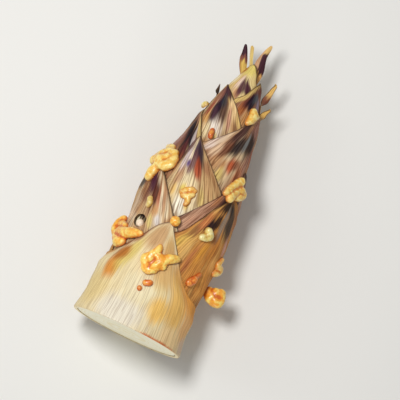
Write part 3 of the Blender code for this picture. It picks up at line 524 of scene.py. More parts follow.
class Nodes:
    """Short calls for making the nodes of a material or of a node group."""

    def __init__(self, tree):
        self.tree = tree

    def give(self, socket, value):
        """Link an input to a value or set it to one; None leaves it as it is."""
        if isinstance(value, bpy.types.NodeSocket):
            self.tree.links.new(value, socket)
        elif value is not None:
            socket.default_value = value

    def add(self, kind, *values, operation=None, inputs=None):
        """A new node with its first inputs, and others by name or number."""
        made = self.tree.nodes.new("ShaderNode" + kind)
        if operation:
            made.operation = operation
        for socket, value in zip(made.inputs, values):
            self.give(socket, value)
        for key, value in (inputs or {}).items():
            self.give(made.inputs[key], value)
        return made

    def math(self, operation, a, b=None, c=None):
        return self.add("Math", a, b, c, operation=operation).outputs[0]

    def times(self, a, b):
        return self.math("MULTIPLY", a, b)

    def vector(self, operation, a, b=None):
        made = self.add("VectorMath", a, b, operation=operation)
        return made.outputs["Value" if operation == "LENGTH" else "Vector"]

    def uv(self, name):
        made = self.add("UVMap")
        made.uv_map = name
        return made.outputs[0]

    def split(self, vector):
        return self.add("SeparateXYZ", vector).outputs

    def combine(self, x):
        return self.add("CombineXYZ", x).outputs[0]

    def texture(self, vector, scale, detail):
        made = self.add("TexNoise", inputs={"Vector": vector, "Scale": scale, "Detail": detail})
        return made.outputs["Fac"]

    def noise(self, vector, across, along, seed, detail=2.0):
        """Noise stretched along the second coordinate; across and along are its grain in mm."""
        scaled = self.vector("MULTIPLY", vector, (1 / TO_MAP / across, 1 / TO_MAP / along, 1))
        moved = self.vector("ADD", scaled, [seed * shift for shift in SEED_SHIFT])
        return self.texture(moved, 1.0, detail)

    def ramp(self, value, low, high, to_low=0.0, to_high=1.0):
        """A smooth ramp of the value from low to high."""
        made = self.add("MapRange", value, low, high, to_low, to_high)
        made.interpolation_type = "SMOOTHSTEP"
        return made.outputs[0]

    def mix(self, factor, a, b):
        made = self.add("Mix")
        made.data_type = "RGBA"
        for number, value in ((0, factor), (6, a), (7, b)):
            self.give(made.inputs[number], value)
        return made.outputs[2]

    def shake(self, value, width):
        """A noise's value spread over this width round 0."""
        return self.math("MULTIPLY_ADD", value, width, -width / 2)

    def step(self, value, at, half, to_low=0.0):
        """A smooth step at a place in mm, a step down where half its length is negative."""
        return self.ramp(value, (at - half) * TO_MAP, (at + half) * TO_MAP, to_low)

    def tint(self, colour, mask, strength, tint):
        """The colour with another over it where the mask is."""
        return self.mix(self.times(mask, strength), colour, tint)

    def bump(self, height, strength, distance):
        return self.add("Bump", inputs={"Height": height, "Strength": strength,
                                        "Distance": distance}).outputs[0]


class Material(Nodes):
    """A new material and the calls that make its nodes."""

    def __init__(self, name):
        self.material = bpy.data.materials.new(name)
        self.material.use_nodes = True
        super().__init__(self.material.node_tree)

    def finish(self, colour, roughness, specular=None, normal=None):
        """The material, with its shader's inputs given."""
        shader = self.tree.nodes["Principled BSDF"]
        for key, value in (("Base Color", colour), ("Roughness", roughness),
                           ("Specular IOR Level", specular), ("Normal", normal)):
            self.give(shader.inputs[key], value)
        return self.material


# Each sheath's looks.  Colours are sRGB.  ground: its main colour and a paler and darker one.
# lines: how strong the dark and pale fibre lines are.  patches: (s, angle, length along the
# fibres, width across them in mm, colour, strength); a few are painted shade or painted highlight,
# as noted at each.  bands: strips along the left or right edge as (side, width in mm, colour,
# strength).  streaks, ragged, relief, fineness and outline scale the streaks, the patches' ragged
# edges, the ridges, the grain and the outline's width; the outline is painted shade, a fine dark
# line along each edge.  outline_from: the s below which that painted shade is faint.
LOOKS = {
    "sheath_base": dict(
        ground=((226, 208, 164), (232, 222, 198), (204, 174, 124)), lines=(0.40, 0.12), streaks=0.05,
        ragged=0.6, relief=0.25, fineness=0.72, outline_from=58,
        bands=[("left", 1.4, (150, 104, 74), 0.6)], patches=[
            (12, -18, 30, 46, (222, 214, 196), 0.9), (34, -14, 26, 26, (226, 214, 178), 0.8),
            (22, -64, 34, 32, (224, 200, 140), 0.85), (42, -53, 24, 16, (216, 140, 54), 0.95),
            (36, 1, 20, 16, (230, 218, 180), 0.8), (43, 10, 14, 12, (226, 204, 150), 0.8),
            (52, -76, 16, 20, (196, 140, 78), 0.85), (56, -36, 34, 13, (216, 192, 104), 0.85),
            # The two patches at s 54 and s 62 are painted shadow beneath crumb_left_large.
            (54, -45, 16, 13, (178, 108, 42), 0.95), (62, -50, 8, 10, (140, 76, 42), 0.8),
            (72, -33, 14, 6, (150, 92, 60), 0.75), (77, -14, 24, 16, (190, 146, 98), 0.85),
            # The patch at s 54 and angle 8 is painted shade beside crumb_centre_large.
            (70, 2, 24, 9, (204, 160, 96), 0.85), (54, 8, 28, 20, (208, 166, 102), 0.85),
            (56, 26, 22, 14, (210, 154, 84), 0.85), (26, 19, 24, 18, (240, 192, 100), 0.9),
            (34, 40, 44, 20, (236, 186, 98), 0.9), (42, 58, 44, 26, (238, 164, 72), 0.95),
            (46, 78, 44, 22, (234, 148, 62), 0.95), (20, 66, 24, 22, (242, 188, 124), 0.85),
            (10, 46, 18, 28, (240, 206, 150), 0.85), (8, 74, 16, 16, (222, 194, 172), 0.8),
            (3.2, 34, 5.0, 44, (206, 112, 58), 0.95)]),
    "sheath_right_lower": dict(
        ground=((204, 142, 74), (226, 178, 102), (136, 84, 46)), lines=(0.58, 0.3),
        bands=[("left", 1.2, (96, 58, 38), 0.5)], patches=[
            (84, 9, 28, 8, (210, 172, 84), 0.85), (94, 18, 18, 7, (142, 90, 56), 0.85),
            (106, 18, 14, 8, (108, 72, 54), 0.85), (70, 16, 24, 8, (206, 164, 98), 0.8),
            (72, 27, 24, 8, (190, 118, 72), 0.8), (78, 37, 26, 9, (224, 156, 60), 0.85),
            (64, 40, 34, 14, (222, 152, 74), 0.85), (84, 52, 30, 12, (208, 134, 58), 0.8),
            (62, 64, 32, 18, (230, 156, 74), 0.85), (120, 47, 14, 12, (40, 30, 28), 0.95),
            (75, 66, 16, 12, (244, 182, 104), 0.85), (94, 46, 12, 8, (152, 94, 54), 0.7),
            (101, 32, 12, 9, (38, 24, 34), 0.95), (106, 39, 14, 9, (46, 30, 28), 0.9),
            (104, 25, 18, 5, (206, 126, 76), 0.8), (110, 60, 32, 12, (60, 54, 50), 0.9),
            (108, 48, 30, 6, (160, 144, 128), 0.85), (90, 74, 16, 10, (222, 168, 150), 0.9),
            (112, 76, 22, 10, (164, 98, 72), 0.8)]),
    "sheath_back_lower": dict(
        ground=((184, 134, 78), (210, 170, 108), (126, 82, 48)), lines=(0.55, 0.35), patches=[
            (108, 172, 30, 14, (58, 38, 34), 0.9), (90, 150, 26, 12, (206, 160, 84), 0.75),
            (84, 196, 30, 12, (160, 98, 58), 0.75), (60, 160, 40, 20, (214, 170, 104), 0.6)]),
    "sheath_left_holed": dict(
        ground=((196, 162, 120), (222, 204, 172), (140, 98, 68)), lines=(0.75, 0.4),
        bands=[("right", 1.2, (112, 100, 72), 0.7)], patches=[
            (114, -66, 14, 22, (84, 52, 52), 0.9), (110, -82, 14, 12, (70, 66, 64), 0.9),
            (104, -66, 22, 12, (152, 104, 66), 0.8), (102, -58, 16, 10, (132, 82, 58), 0.85),
            (112, -53, 20, 9, (76, 32, 52), 0.95), (105, -43, 24, 9, (88, 38, 28), 0.95),
            (101, -36, 22, 4, (188, 116, 84), 0.8), (104, -28, 26, 5, (196, 148, 108), 0.85),
            (96, -20, 24, 4, (222, 208, 174), 0.8), (92, -76, 18, 16, (208, 180, 150), 0.8),
            (82, -78, 12, 18, (228, 200, 170), 0.85), (90, -60, 12, 10, (182, 134, 88), 0.7),
            (87, -26, 12, 7, (220, 212, 204), 0.9), (88, -11, 10, 8, (176, 122, 72), 0.85),
            (93, -34, 12, 7, (192, 140, 88), 0.8), (84, -34, 12, 6, (218, 196, 122), 0.8)]),
    "sheath_right_band": dict(
        ground=((182, 134, 106), (206, 166, 136), (112, 72, 58)), lines=(0.85, 0.4),
        bands=[("left", 1.0, (76, 48, 44), 0.6)], patches=[
            # The first patch (s 90, angle -48) is painted shade: the dark inside of the hole in
            # sheath_left_holed.
            (90, -48, 20, 26, (34, 16, 14), 1.0), (121, 38, 18, 9, (84, 50, 46), 0.9),
            (120, 25, 14, 8, (190, 128, 84), 0.85), (121, 46, 14, 12, (46, 34, 32), 0.9),
            (121, 57, 30, 18, (50, 46, 46), 0.95), (104, 52, 16, 8, (132, 120, 110), 0.7),
            (146, 74, 10, 18, (58, 40, 30), 0.95), (138, 72, 14, 14, (150, 74, 44), 0.9),
            (108, 12, 26, 8, (190, 148, 120), 0.75), (116, 76, 16, 10, (140, 96, 72), 0.8)]),
    "sheath_centre": dict(
        ground=((202, 172, 122), (226, 206, 164), (148, 104, 68)), lines=(0.78, 0.4),
        bands=[("right", 2.0, (196, 158, 112), 0.6)], patches=[
            # The first patch (s 90, angle -48) is painted shade: the dark inside of the hole in
            # sheath_left_holed.
            (90, -48, 20, 26, (34, 16, 14), 1.0), (130, 10, 34, 12, (194, 150, 102), 0.8),
            (139, -2, 14, 7, (150, 98, 68), 0.75), (124, -12, 26, 11, (218, 200, 160), 0.85),
            (127, -27, 20, 7, (184, 140, 104), 0.85), (130, -41, 20, 9, (178, 122, 72), 0.85),
            (118, -38, 18, 6, (196, 166, 124), 0.7), (143, -40, 24, 8, (84, 44, 40), 0.92),
            # The patch at s 141 and angle -32 is a painted highlight: a pale lilac sheen streak.
            (141, -32, 24, 3.6, (206, 190, 188), 0.95), (151, -36, 16, 6, (110, 82, 82), 0.9),
            (152, -24, 18, 6, (66, 48, 70), 0.95), (147, -17, 26, 6, (52, 34, 44), 0.95),
            (141, -19, 20, 5, (96, 56, 66), 0.85), (135, -21, 14, 6, (132, 98, 100), 0.8),
            (137, -25, 9, 3.5, (86, 62, 120), 0.9), (136, -11, 16, 6, (164, 72, 42), 0.95),
            (128, 22, 16, 6, (186, 144, 98), 0.8), (108, -10, 22, 14, (230, 224, 204), 0.95),
            (117, -16, 12, 6, (216, 190, 88), 0.9), (109, -4, 14, 5, (222, 184, 80), 0.9),
            (116, 8, 16, 6, (210, 182, 110), 0.8), (114, -26, 12, 5, (222, 178, 98), 0.8)]),
    "sheath_back_middle": dict(
        ground=((180, 132, 86), (208, 172, 120), (116, 76, 50)), lines=(0.65, 0.35), patches=[
            (154, 177, 26, 12, (54, 36, 38), 0.9), (138, 160, 26, 12, (206, 168, 104), 0.75),
            (136, 200, 26, 12, (150, 96, 64), 0.75)]),
    "sheath_left_middle": dict(
        ground=((160, 114, 82), (198, 160, 116), (94, 58, 48)), lines=(0.7, 0.35),
        bands=[("right", 3.2, (208, 182, 118), 0.9)], patches=[
            # The first patch (s 90, angle -48) is painted shade: the dark inside of the hole in
            # sheath_left_holed.
            (90, -48, 20, 26, (34, 16, 14), 1.0), (170, -80, 20, 14, (96, 72, 54), 0.85),
            (170, -64, 14, 8, (194, 142, 112), 0.85), (162, -62, 14, 10, (60, 38, 40), 0.9),
            (156, -53, 32, 15, (30, 16, 22), 1.0), (150, -66, 18, 10, (124, 74, 62), 0.8),
            (152, -80, 20, 10, (164, 122, 118), 0.8), (144, -45, 24, 7, (88, 40, 40), 0.95),
            # The patch at s 152 and angle -37 is a painted highlight: a pale lilac sheen streak.
            (152, -37, 30, 3.6, (216, 204, 200), 0.9), (134, -40, 18, 6, (136, 74, 50), 0.85),
            (132, -60, 16, 12, (176, 128, 84), 0.75)]),
    "sheath_right_middle": dict(
        ground=((180, 134, 98), (210, 182, 144), (110, 70, 56)), lines=(0.8, 0.45),
        bands=[("left", 2.6, (206, 168, 126), 0.7)], patches=[
            (160, -8, 20, 9, (220, 200, 186), 0.9), (166, 4, 20, 6, (208, 180, 148), 0.8),
            (150, 8, 34, 9, (184, 136, 90), 0.75), (176, 31, 40, 8, (78, 48, 46), 0.95),
            (162, 25, 18, 11, (42, 26, 28), 0.95), (172, 58, 34, 11, (52, 36, 32), 0.97),
            (169, 44, 20, 3.6, (132, 134, 132), 0.9), (159, 13, 18, 8, (122, 76, 54), 0.85),
            (147, 17, 16, 7, (180, 126, 78), 0.85), (166, 35, 20, 8, (58, 48, 48), 0.9),
            (155, -2, 16, 8, (218, 186, 152), 0.85), (154, 56, 22, 9, (180, 134, 114), 0.85),
            (149, 30, 16, 9, (186, 88, 52), 0.95), (144, 48, 18, 9, (184, 116, 82), 0.85),
            (151, 39, 12, 7, (138, 78, 54), 0.85), (139, 17, 18, 12, (208, 180, 108), 0.9),
            (184, 68, 18, 9, (184, 134, 120), 0.85), (160, 70, 20, 8, (170, 104, 88), 0.8),
            (197, 73, 12, 6, (226, 182, 96), 0.9)]),
    "sheath_left_rear": dict(
        ground=((120, 88, 64), (168, 130, 92), (60, 44, 36)), lines=(0.7, 0.35), patches=[
            (195, -100, 14, 16, (36, 36, 28), 0.95)]),
    "sheath_left_upper": dict(
        ground=((184, 142, 98), (214, 186, 140), (116, 78, 58)), lines=(0.75, 0.4),
        bands=[("right", 3.8, (220, 184, 116), 0.9)], patches=[
            (172, -24, 22, 12, (224, 214, 200), 0.95), (178, -26, 12, 8, (188, 168, 152), 0.7),
            (165, -34, 16, 8, (228, 208, 162), 0.9), (176, -50, 14, 7, (202, 150, 84), 0.85),
            (191, -8, 24, 6, (236, 204, 150), 0.95), (180, -3, 18, 4, (186, 132, 110), 0.8),
            (195, -70, 20, 10, (176, 130, 90), 0.8), (184, -56, 18, 6, (158, 76, 54), 0.9),
            (200, -58, 12, 9, (98, 50, 62), 0.95), (188, -37, 30, 9, (40, 20, 36), 1.0),
            (201, -46, 14, 8, (70, 34, 46), 0.95), (185, -22, 20, 6, (88, 62, 50), 0.9),
            (195, -57, 14, 6, (152, 98, 80), 0.85), (192, -33, 14, 4, (50, 54, 62), 0.8),
            (180, -37, 12, 6, (74, 46, 58), 0.9), (164, -16, 8, 6, (224, 196, 120), 0.85)]),
    "sheath_back_upper": dict(
        ground=((206, 160, 96), (228, 190, 124), (130, 84, 56)), lines=(0.5, 0.35), outline=0.5, patches=[
            (206, 100, 10, 12, (128, 72, 60), 0.9), (217, 99, 14, 12, (236, 192, 112), 0.95)]),
    "sheath_right_upper": dict(
        ground=((160, 112, 82), (198, 158, 112), (92, 60, 52)), lines=(0.7, 0.35),
        bands=[("left", 3.6, (214, 182, 112), 0.95)], patches=[
            (192, 12, 20, 7, (168, 96, 50), 0.95), (200, 22, 16, 5, (100, 52, 50), 0.9),
            (201, 36, 18, 8, (38, 24, 40), 0.97), (205, 49, 14, 5, (92, 98, 106), 0.9),
            (198, 62, 14, 7, (156, 140, 158), 0.9), (210, 60, 10, 8, (120, 66, 54), 0.9),
            (208, 80, 12, 8, (150, 104, 96), 0.85), (186, 26, 12, 6, (196, 142, 84), 0.8)]),
    "sheath_top": dict(
        ground=((214, 184, 120), (232, 210, 150), (160, 112, 68)), lines=(0.45, 0.3),
        bands=[("right", 1.0, (118, 66, 40), 0.8)], patches=[
            (222, -26, 12, 16, (222, 202, 112), 0.95), (220, -74, 9, 7, (176, 100, 22), 0.95),
            (211, -70, 12, 7, (230, 218, 184), 0.85), (205, -36, 14, 7, (216, 184, 140), 0.85),
            # The patch at s 211 and angle -33 is a painted highlight: a pale pink sheen streak.
            (202, -22, 9, 9, (186, 134, 96), 0.9), (211, -33, 14, 4.5, (234, 206, 190), 0.8),
            (207, 9, 12, 8, (104, 62, 50), 0.85), (208, -6, 17, 13, (74, 34, 52), 0.92),
            (214, 18, 14, 5, (230, 206, 142), 0.9), (201, 0, 8, 4, (216, 186, 128), 0.85)]),
}
USUAL_LOOK = dict(streaks=1.0, ragged=1.0, relief=1.0, fineness=1.0, outline=1.0, bands=[])
LOOKS = {name: {**USUAL_LOOK, **look} for name, look in LOOKS.items()}
# Each noise of a husk: its grain across and along the fibres in mm, and its detail.
GRAINS = {"broad": (6.0, 60, 2), "medium": (2.0, 34, 3), "fine": (0.50, 20, 1), "pale": (0.55, 18, 1)}
SWAY_GRAIN = (30, 45)
SWAY = 0.03  # how far the fibres sway, in map units
RAGGED = 1.5  # how ragged a patch's outline is, as a share of its half size
WAVY = 0.02  # how uneven the strips and rings are, in map units
# The values of its noise at which each of these starts and is full.
PALE_STREAK = (0.48, 0.66)
DARK_STREAK = (0.50, 0.36)
PALE_LINE = (0.52, 0.68)
DARK_LINE = (0.52, 0.42)
DARK_STREAK_SHARE = 0.6
LINE_FADE = (0.72, 0.40, 0.55)  # where dark lines are faintest and full, and how strong the faintest
LINE_SHADE = (0.36, 0.25, 0.19)  # what a dark fibre line multiplies the colour by
LINE_GLOW = (1.45, 1.42, 1.36)  # and a pale one
# The outline is painted shade: a fine dark line along each sheath's edge, where it steps down to the
# layer beneath.
EDGE_SHADE_COLOUR = (62, 36, 30)
EDGE_SHADE_WIDTH = 0.55
EDGE_SHADE_STRENGTH = 0.75
EDGE_SHADE_FAINT = 0.3
EDGE_SHADE_CHANGE = 6  # over what length either way an outline gets faint
PATCH_OUTSIDE = 1.3  # a patch starts and is full at these shares of its half size
PATCH_INSIDE = 0.45
HUSK_SPECULAR = 0.14
HUSK_ROUGHNESS = (0.3, 0.7, 0.60, 0.78)  # between two values of the noise, and what it is there
HUSK_BUMP = (0.5, 0.0005)  # strength and distance
FINE_BUMP = 0.5  # how much of it the fine fibres have


def patch_group():
    """A node group: how far a fibre coordinate is inside a soft, streaky oval patch."""
    group = bpy.data.node_groups.new("fibre_patch", "ShaderNodeTree")
    for name, kind in (("Fibre", "Vector"), ("Centre", "Vector"), ("Inverse size", "Vector"),
                       ("Streak", "Float"), ("Strength", "Float")):
        group.interface.new_socket(name, in_out="INPUT", socket_type="NodeSocket" + kind)
    group.interface.new_socket("Mask", in_out="OUTPUT", socket_type="NodeSocketFloat")
    n = Nodes(group)
    given = group.nodes.new("NodeGroupInput").outputs
    away = n.vector("SUBTRACT", given["Fibre"], given["Centre"])
    scaled = n.vector("MULTIPLY", away, given["Inverse size"])
    shaken = n.math("ADD", n.vector("LENGTH", scaled), given["Streak"])
    mask = n.times(n.ramp(shaken, PATCH_OUTSIDE, PATCH_INSIDE), given["Strength"])
    n.give(group.nodes.new("NodeGroupOutput").inputs[0], mask)
    return group


PATCH = patch_group()


def add_patch(n, fibre, centre, size, streak, strength):
    """The mask of one patch; its centre and size are in millimetres."""
    made = n.add("Group")
    made.node_tree = PATCH
    for key, value in (("Fibre", fibre), ("Centre", (centre[0] * TO_MAP, centre[1] * TO_MAP, 0)),
                       ("Inverse size", (2 / size[0] / TO_MAP, 2 / size[1] / TO_MAP, 0)),
                       ("Streak", streak), ("Strength", strength)):
        n.give(made.inputs[key], value)
    return made.outputs[0]


def sheath_material(sheath, seed):
    """Fibrous husk: streaks along the fibres, soft patches (a few of them painted shade or painted
    highlight), edge strips and a fine dark outline of painted shade along its edges.
    """
    name = sheath[0]
    look = LOOKS[name]
    n = Material(name)
    fibre = n.uv("fibre")
    left, right = n.split(n.uv("depth"))[:2]
    sway = n.noise(fibre, *SWAY_GRAIN, seed + 0.5, detail=1)
    flat = n.vector("ADD", fibre, n.combine(n.shake(sway, SWAY)))

    places = [(float(true_s(s, turn)), turn) for s, turn, *_ in look["patches"]]
    stretches = [fibre_stretch(sheath, s, turn) for s, turn in places]
    grain = sum(stretches) / len(stretches) * look["fineness"]
    broad, medium, fine, fine_pale = (n.noise(flat, across * grain, along, seed + k, detail)
                                      for k, (across, along, detail) in enumerate(GRAINS.values()))
    break_up = n.shake(medium, RAGGED * look["ragged"])

    main, pale, dark = (srgb(*colour) for colour in look["ground"])
    streaks = look["streaks"]
    colour = n.tint(main, n.ramp(broad, *PALE_STREAK), streaks, pale)
    colour = n.tint(colour, n.ramp(medium, *DARK_STREAK), DARK_STREAK_SHARE * streaks, dark)
    for side, width, tint, strength in look["bands"]:
        depth = n.math("ADD", left if side == "left" else right, n.shake(medium, WAVY))
        colour = n.tint(colour, n.step(depth, width, -width / 4), strength, srgb(*tint))
    for (s, turn), stretch, patch in zip(places, stretches, look["patches"]):
        length, width, tint, strength = patch[2:]
        centre = float(fibre_coordinate(sheath, np.array([turn]), np.array([s]))[0]), s
        mask = add_patch(n, flat, centre, (width * stretch, length), break_up, strength)
        colour = n.mix(mask, colour, srgb(*tint))

    dark_lines = n.times(n.ramp(fine, *DARK_LINE), n.ramp(medium, *LINE_FADE))
    pale_lines = n.ramp(fine_pale, *PALE_LINE)
    for lines, strength, change in zip((dark_lines, pale_lines), look["lines"],
                                       (LINE_SHADE, LINE_GLOW)):
        colour = n.tint(colour, lines, strength, n.vector("MULTIPLY", colour, change))
    # Painted shade: a dark line along the sheath's edges, faint towards the foot where outline_from is
    # given.
    width = EDGE_SHADE_WIDTH * look["outline"]
    outline = n.step(n.math("MINIMUM", left, right), width, -width / 2)
    if "outline_from" in look:
        along = n.split(fibre)[1]
        full = n.step(along, look["outline_from"], EDGE_SHADE_CHANGE, EDGE_SHADE_FAINT)
        outline = n.times(outline, full)
    colour = n.tint(colour, outline, EDGE_SHADE_STRENGTH, srgb(*EDGE_SHADE_COLOUR))

    height = n.math("ADD", n.times(medium, look["relief"]), n.times(fine, FINE_BUMP))
    return n.finish(colour, n.ramp(medium, *HUSK_ROUGHNESS), HUSK_SPECULAR,
                    n.bump(height, *HUSK_BUMP))


# The cut face.  A grain is given in mm both ways, and with a seed.
CUT_GRAIN = (6, 6, 11)
RING_GRAIN = (1.6, 1.0, 13)
RING_STEP = (0.42, 0.62)
SPECKLE_GRAIN = (0.8, 0.8, 17)
SPECKLE_STEP = (0.58, 0.7)
SPECKLE_STRENGTH = 0.35
SPECKLE = (232, 226, 200)
CUT_ROUGHNESS = 0.42
CUT_BUMP = (0.35, 0.0004)


def cut_material(name, centre, ring):
    """Cut flesh: pale, moist, with faint, wavy rings round the axis."""
    n = Material(name)
    place = n.uv("place")
    grain = n.noise(place, *CUT_GRAIN, detail=3)
    radius = n.math("ADD", n.vector("LENGTH", place), n.shake(grain, WAVY))
    band = n.noise(n.combine(radius), *RING_GRAIN, detail=3)
    colour = n.mix(n.ramp(band, *RING_STEP), srgb(*centre), srgb(*ring))
    speckle = n.noise(place, *SPECKLE_GRAIN)
    colour = n.tint(colour, n.ramp(speckle, *SPECKLE_STEP), SPECKLE_STRENGTH, srgb(*SPECKLE))
    relief = n.bump(n.math("ADD", band, speckle), *CUT_BUMP)
    return n.finish(colour, CUT_ROUGHNESS, normal=relief)


# Crumb finishes: the colours of a clump's body, of its crowns (a painted highlight, also mixed into the
# body at random as a paler tone) and of its foot and creases (painted shade).
CRUMB_LOOKS = {
    "golden": ((234, 160, 52), (242, 212, 112), (192, 76, 20)),
    "yellow": ((232, 180, 78), (240, 218, 136), (200, 106, 26)),
    "deep": ((222, 118, 42), (236, 166, 76), (170, 56, 16)),
    "pale": ((222, 200, 118), (236, 224, 164), (186, 136, 56)),
    "white": ((236, 216, 190), (240, 228, 208), (196, 150, 110)),
}
# Painted light laid over a crumb's body, a painted highlight on its crowns and painted shade at its foot
# and in its creases: the colour, the map that it follows, the values in map units at which it starts
# and is full, and its strength.
CRUMB_PAINTED_LIGHT = [("crown", "crease", 0.0, -0.012, 0.6), ("foot", "lift", 0.034, 0.004, 0.85),
                ("foot", "crease", 0.004, 0.020, 0.8)]
CRUMB_GRAIN = 260.0  # per metre
CRUMB_STEP = (0.45, 0.66)
CRUMB_ROUGHNESS = 0.3
CRUMB_SPECULAR = 0.5
CRUMB_BUMP = (0.25, 0.0006)


def crumb_material(name, look):
    """Fried crumb: glossy, with painted shade deeper in its creases and at its foot and a painted yellow
    highlight on its crowns.
    """
    n = Material(name)
    maps = dict(zip(("lift", "crease"), n.split(n.uv("crumb"))))
    tone = n.texture(n.add("TexCoord").outputs["Object"], CRUMB_GRAIN, 3.0)
    tints = dict(zip(("body", "crown", "foot"), (srgb(*tint) for tint in look)))
    colour = n.mix(n.ramp(tone, *CRUMB_STEP), tints["body"], tints["crown"])
    # Painted highlight on the crowns, painted shade at the foot and in the creases.
    for tint, key, start, full, strength in CRUMB_PAINTED_LIGHT:
        colour = n.tint(colour, n.ramp(maps[key], start, full), strength, tints[tint])
    return n.finish(colour, CRUMB_ROUGHNESS, CRUMB_SPECULAR, n.bump(tone, *CRUMB_BUMP))


BLADE_FINE = (0.6, 12)  # grains across and along its fibres in mm
BLADE_MEDIUM = (1.6, 20)
BLADE_WAVY = 0.10
BLADE_LINE = (0.5, 0.38)
BLADE_LINE_STRENGTH = 0.5
BLADE_CHANGE = 1.5  # over what length either way its colours change, then its strip's ends and side
STRIP_END = 2
STRIP_SIDE = 0.5
BLADE_ROUGHNESS = 0.65
BLADE_BUMP = (0.5, 0.0004)


def blade_material(name, look, seed):
    """Dry blade: fibres along it, its colours changing from foot to tip and from edge to edge."""
    n = Material(name)
    fibre = n.uv("fibre")
    across, along = n.split(fibre)[:2]
    fine = n.noise(fibre, *BLADE_FINE, seed)
    medium = n.noise(fibre, *BLADE_MEDIUM, seed + 1)
    shaken = n.math("ADD", along, n.shake(medium, BLADE_WAVY))
    aside = n.math("ADD", across, n.shake(medium, WAVY))
    colour = srgb(*look["foot"])
    for key in ("middle", "tip"):
        start, tint = look[key]
        colour = n.mix(n.step(shaken, start, BLADE_CHANGE), colour, srgb(*tint))
    start, end, edge, tint = look["strip"]
    there = n.times(n.step(along, start, STRIP_END), n.step(along, end, -STRIP_END))
    colour = n.tint(colour, there, n.step(aside, edge, -STRIP_SIDE), srgb(*tint))
    darker = n.vector("MULTIPLY", colour, LINE_SHADE)
    colour = n.tint(colour, n.ramp(fine, *BLADE_LINE), BLADE_LINE_STRENGTH, darker)
    return n.finish(colour, BLADE_ROUGHNESS, HUSK_SPECULAR, n.bump(fine, *BLADE_BUMP))


SHARP_ANGLE = math.radians(50)


def add_object(name, data):
    made = bpy.data.objects.new(name, data)
    bpy.context.scene.collection.objects.link(made)
    return made


def evaluated_mesh(made):
    """A new mesh of an object with its modifiers applied."""
    bpy.context.view_layer.update()
    graph = bpy.context.evaluated_depsgraph_get()
    return bpy.data.meshes.new_from_object(made.evaluated_get(graph))


def mesh_piece(name, points, faces, maps, materials, face_materials=None):
    """A mesh object from points, faces and per-point maps, made to stand for its CAD node."""
    mesh = bpy.data.meshes.new(name)
    points = np.clip(points, tuple(cad_low), tuple(cad_high))
    mesh.from_pydata([tuple(p) for p in points], [], faces)
    for material in materials:
        mesh.materials.append(material)
    corners = np.empty(len(mesh.loops), np.int32)
    mesh.loops.foreach_get("vertex_index", corners)
    for key, values in maps.items():
        layer = mesh.uv_layers.new(name=key)
        layer.uv.foreach_set("vector", np.asarray(values, np.float32)[corners].ravel())
    if face_materials is not None:
        mesh.polygons.foreach_set("material_index", face_materials)
    mesh.update()
    made = add_object("visual_" + name, mesh)
    mesh.shade_smooth()
    mesh.set_sharp_from_angle(angle=SHARP_ANGLE)
    return made


def finish_piece(made, node):
    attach(made, BODY)
    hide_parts(node)


def sheet_faces(rows, columns):
    """Quads of two stacked grids, the first facing out, joined round their border.

    The border comes last, the faces at the first and last row by turns before those at the sides.
    """
    def at(layer, row, column):
        return layer * (rows + 1) * (columns + 1) + row * (columns + 1) + column

    def border(start, end, turned):
        face = [at(0, *start), at(0, *end), at(1, *end), at(1, *start)]
        return face[:1] + face[:0:-1] if turned else face

    faces = []
    for row in range(rows):
        for column in range(columns):
            square = [(row, column), (row, column + 1), (row + 1, column + 1), (row + 1, column)]
            faces.append([at(0, *corner) for corner in square[::-1]])
            faces.append([at(1, *corner) for corner in square[1:] + square[:1]])
    for column in range(columns):
        faces.append(border((0, column), (0, column + 1), False))
        faces.append(border((rows, column), (rows, column + 1), True))
    for row in range(rows):
        faces.append(border((row, 0), (row + 1, 0), True))
        faces.append(border((row, columns), (row + 1, columns), False))
    return faces


def as_map(first, second):
    """A map from two values at each point."""
    return np.stack([first, second], axis=-1).reshape(-1, 2) * TO_MAP


def disc_map(radius, turn):
    """A map of the places round the axis."""
    return as_map(radius * np.sin(np.radians(turn)), radius * np.cos(np.radians(turn)))


RIDGES = [(4.6, 46, 0.20), (2.9, 30, 0.10)]  # across, along and height of the fibre ridges
RIDGE_FADE = 3.0  # they fade this far from a sheath's edge
RIM_ROUND = 0.5  # how far the cut edge of the sheath at the foot is rounded


def make_sheath(sheath, grid, seed, cut):
    """One sheath as a closed sheet with fibre ridges on its outer face."""
    name, start = sheath[:2]
    turn, s, inner, thick, depth = grid
    rows, columns = (count - 1 for count in turn.shape)
    fibre = fibre_coordinate(sheath, turn, s)
    ridge = sum(height * lattice_noise(fibre / across, s / along, seed * 10 + k)
                for k, (across, along, height) in enumerate(RIDGES))
    full = thick + LOOKS[name]["relief"] * ridge * smoothstep(np.minimum(*depth) / RIDGE_FADE)
    if start == 0:
        full = full - RIM_ROUND * np.clip(1 - s / RIM_ROUND, 0, 1) ** 2
    points = np.concatenate([to_world(*place).reshape(-1, 3)
                             for place in flare_tip(sheath, turn, s, inner, full)])
    maps = {"fibre": np.tile(as_map(fibre, s), (2, 1)), "depth": np.tile(as_map(*depth), (2, 1))}
    faces = sheet_faces(rows, columns)
    materials = [sheath_material(sheath, seed)]
    indices = None
    if start == 0:
        maps["place"] = np.concatenate([disc_map(inner + full, turn), disc_map(inner, turn)])
        materials.append(cut)
        cut_rim = 2 * rows * columns
        indices = np.zeros(len(faces), np.int32)
        indices[cut_rim:cut_rim + 2 * columns:2] = 1
    return mesh_piece(name, points, faces, maps, materials, indices)


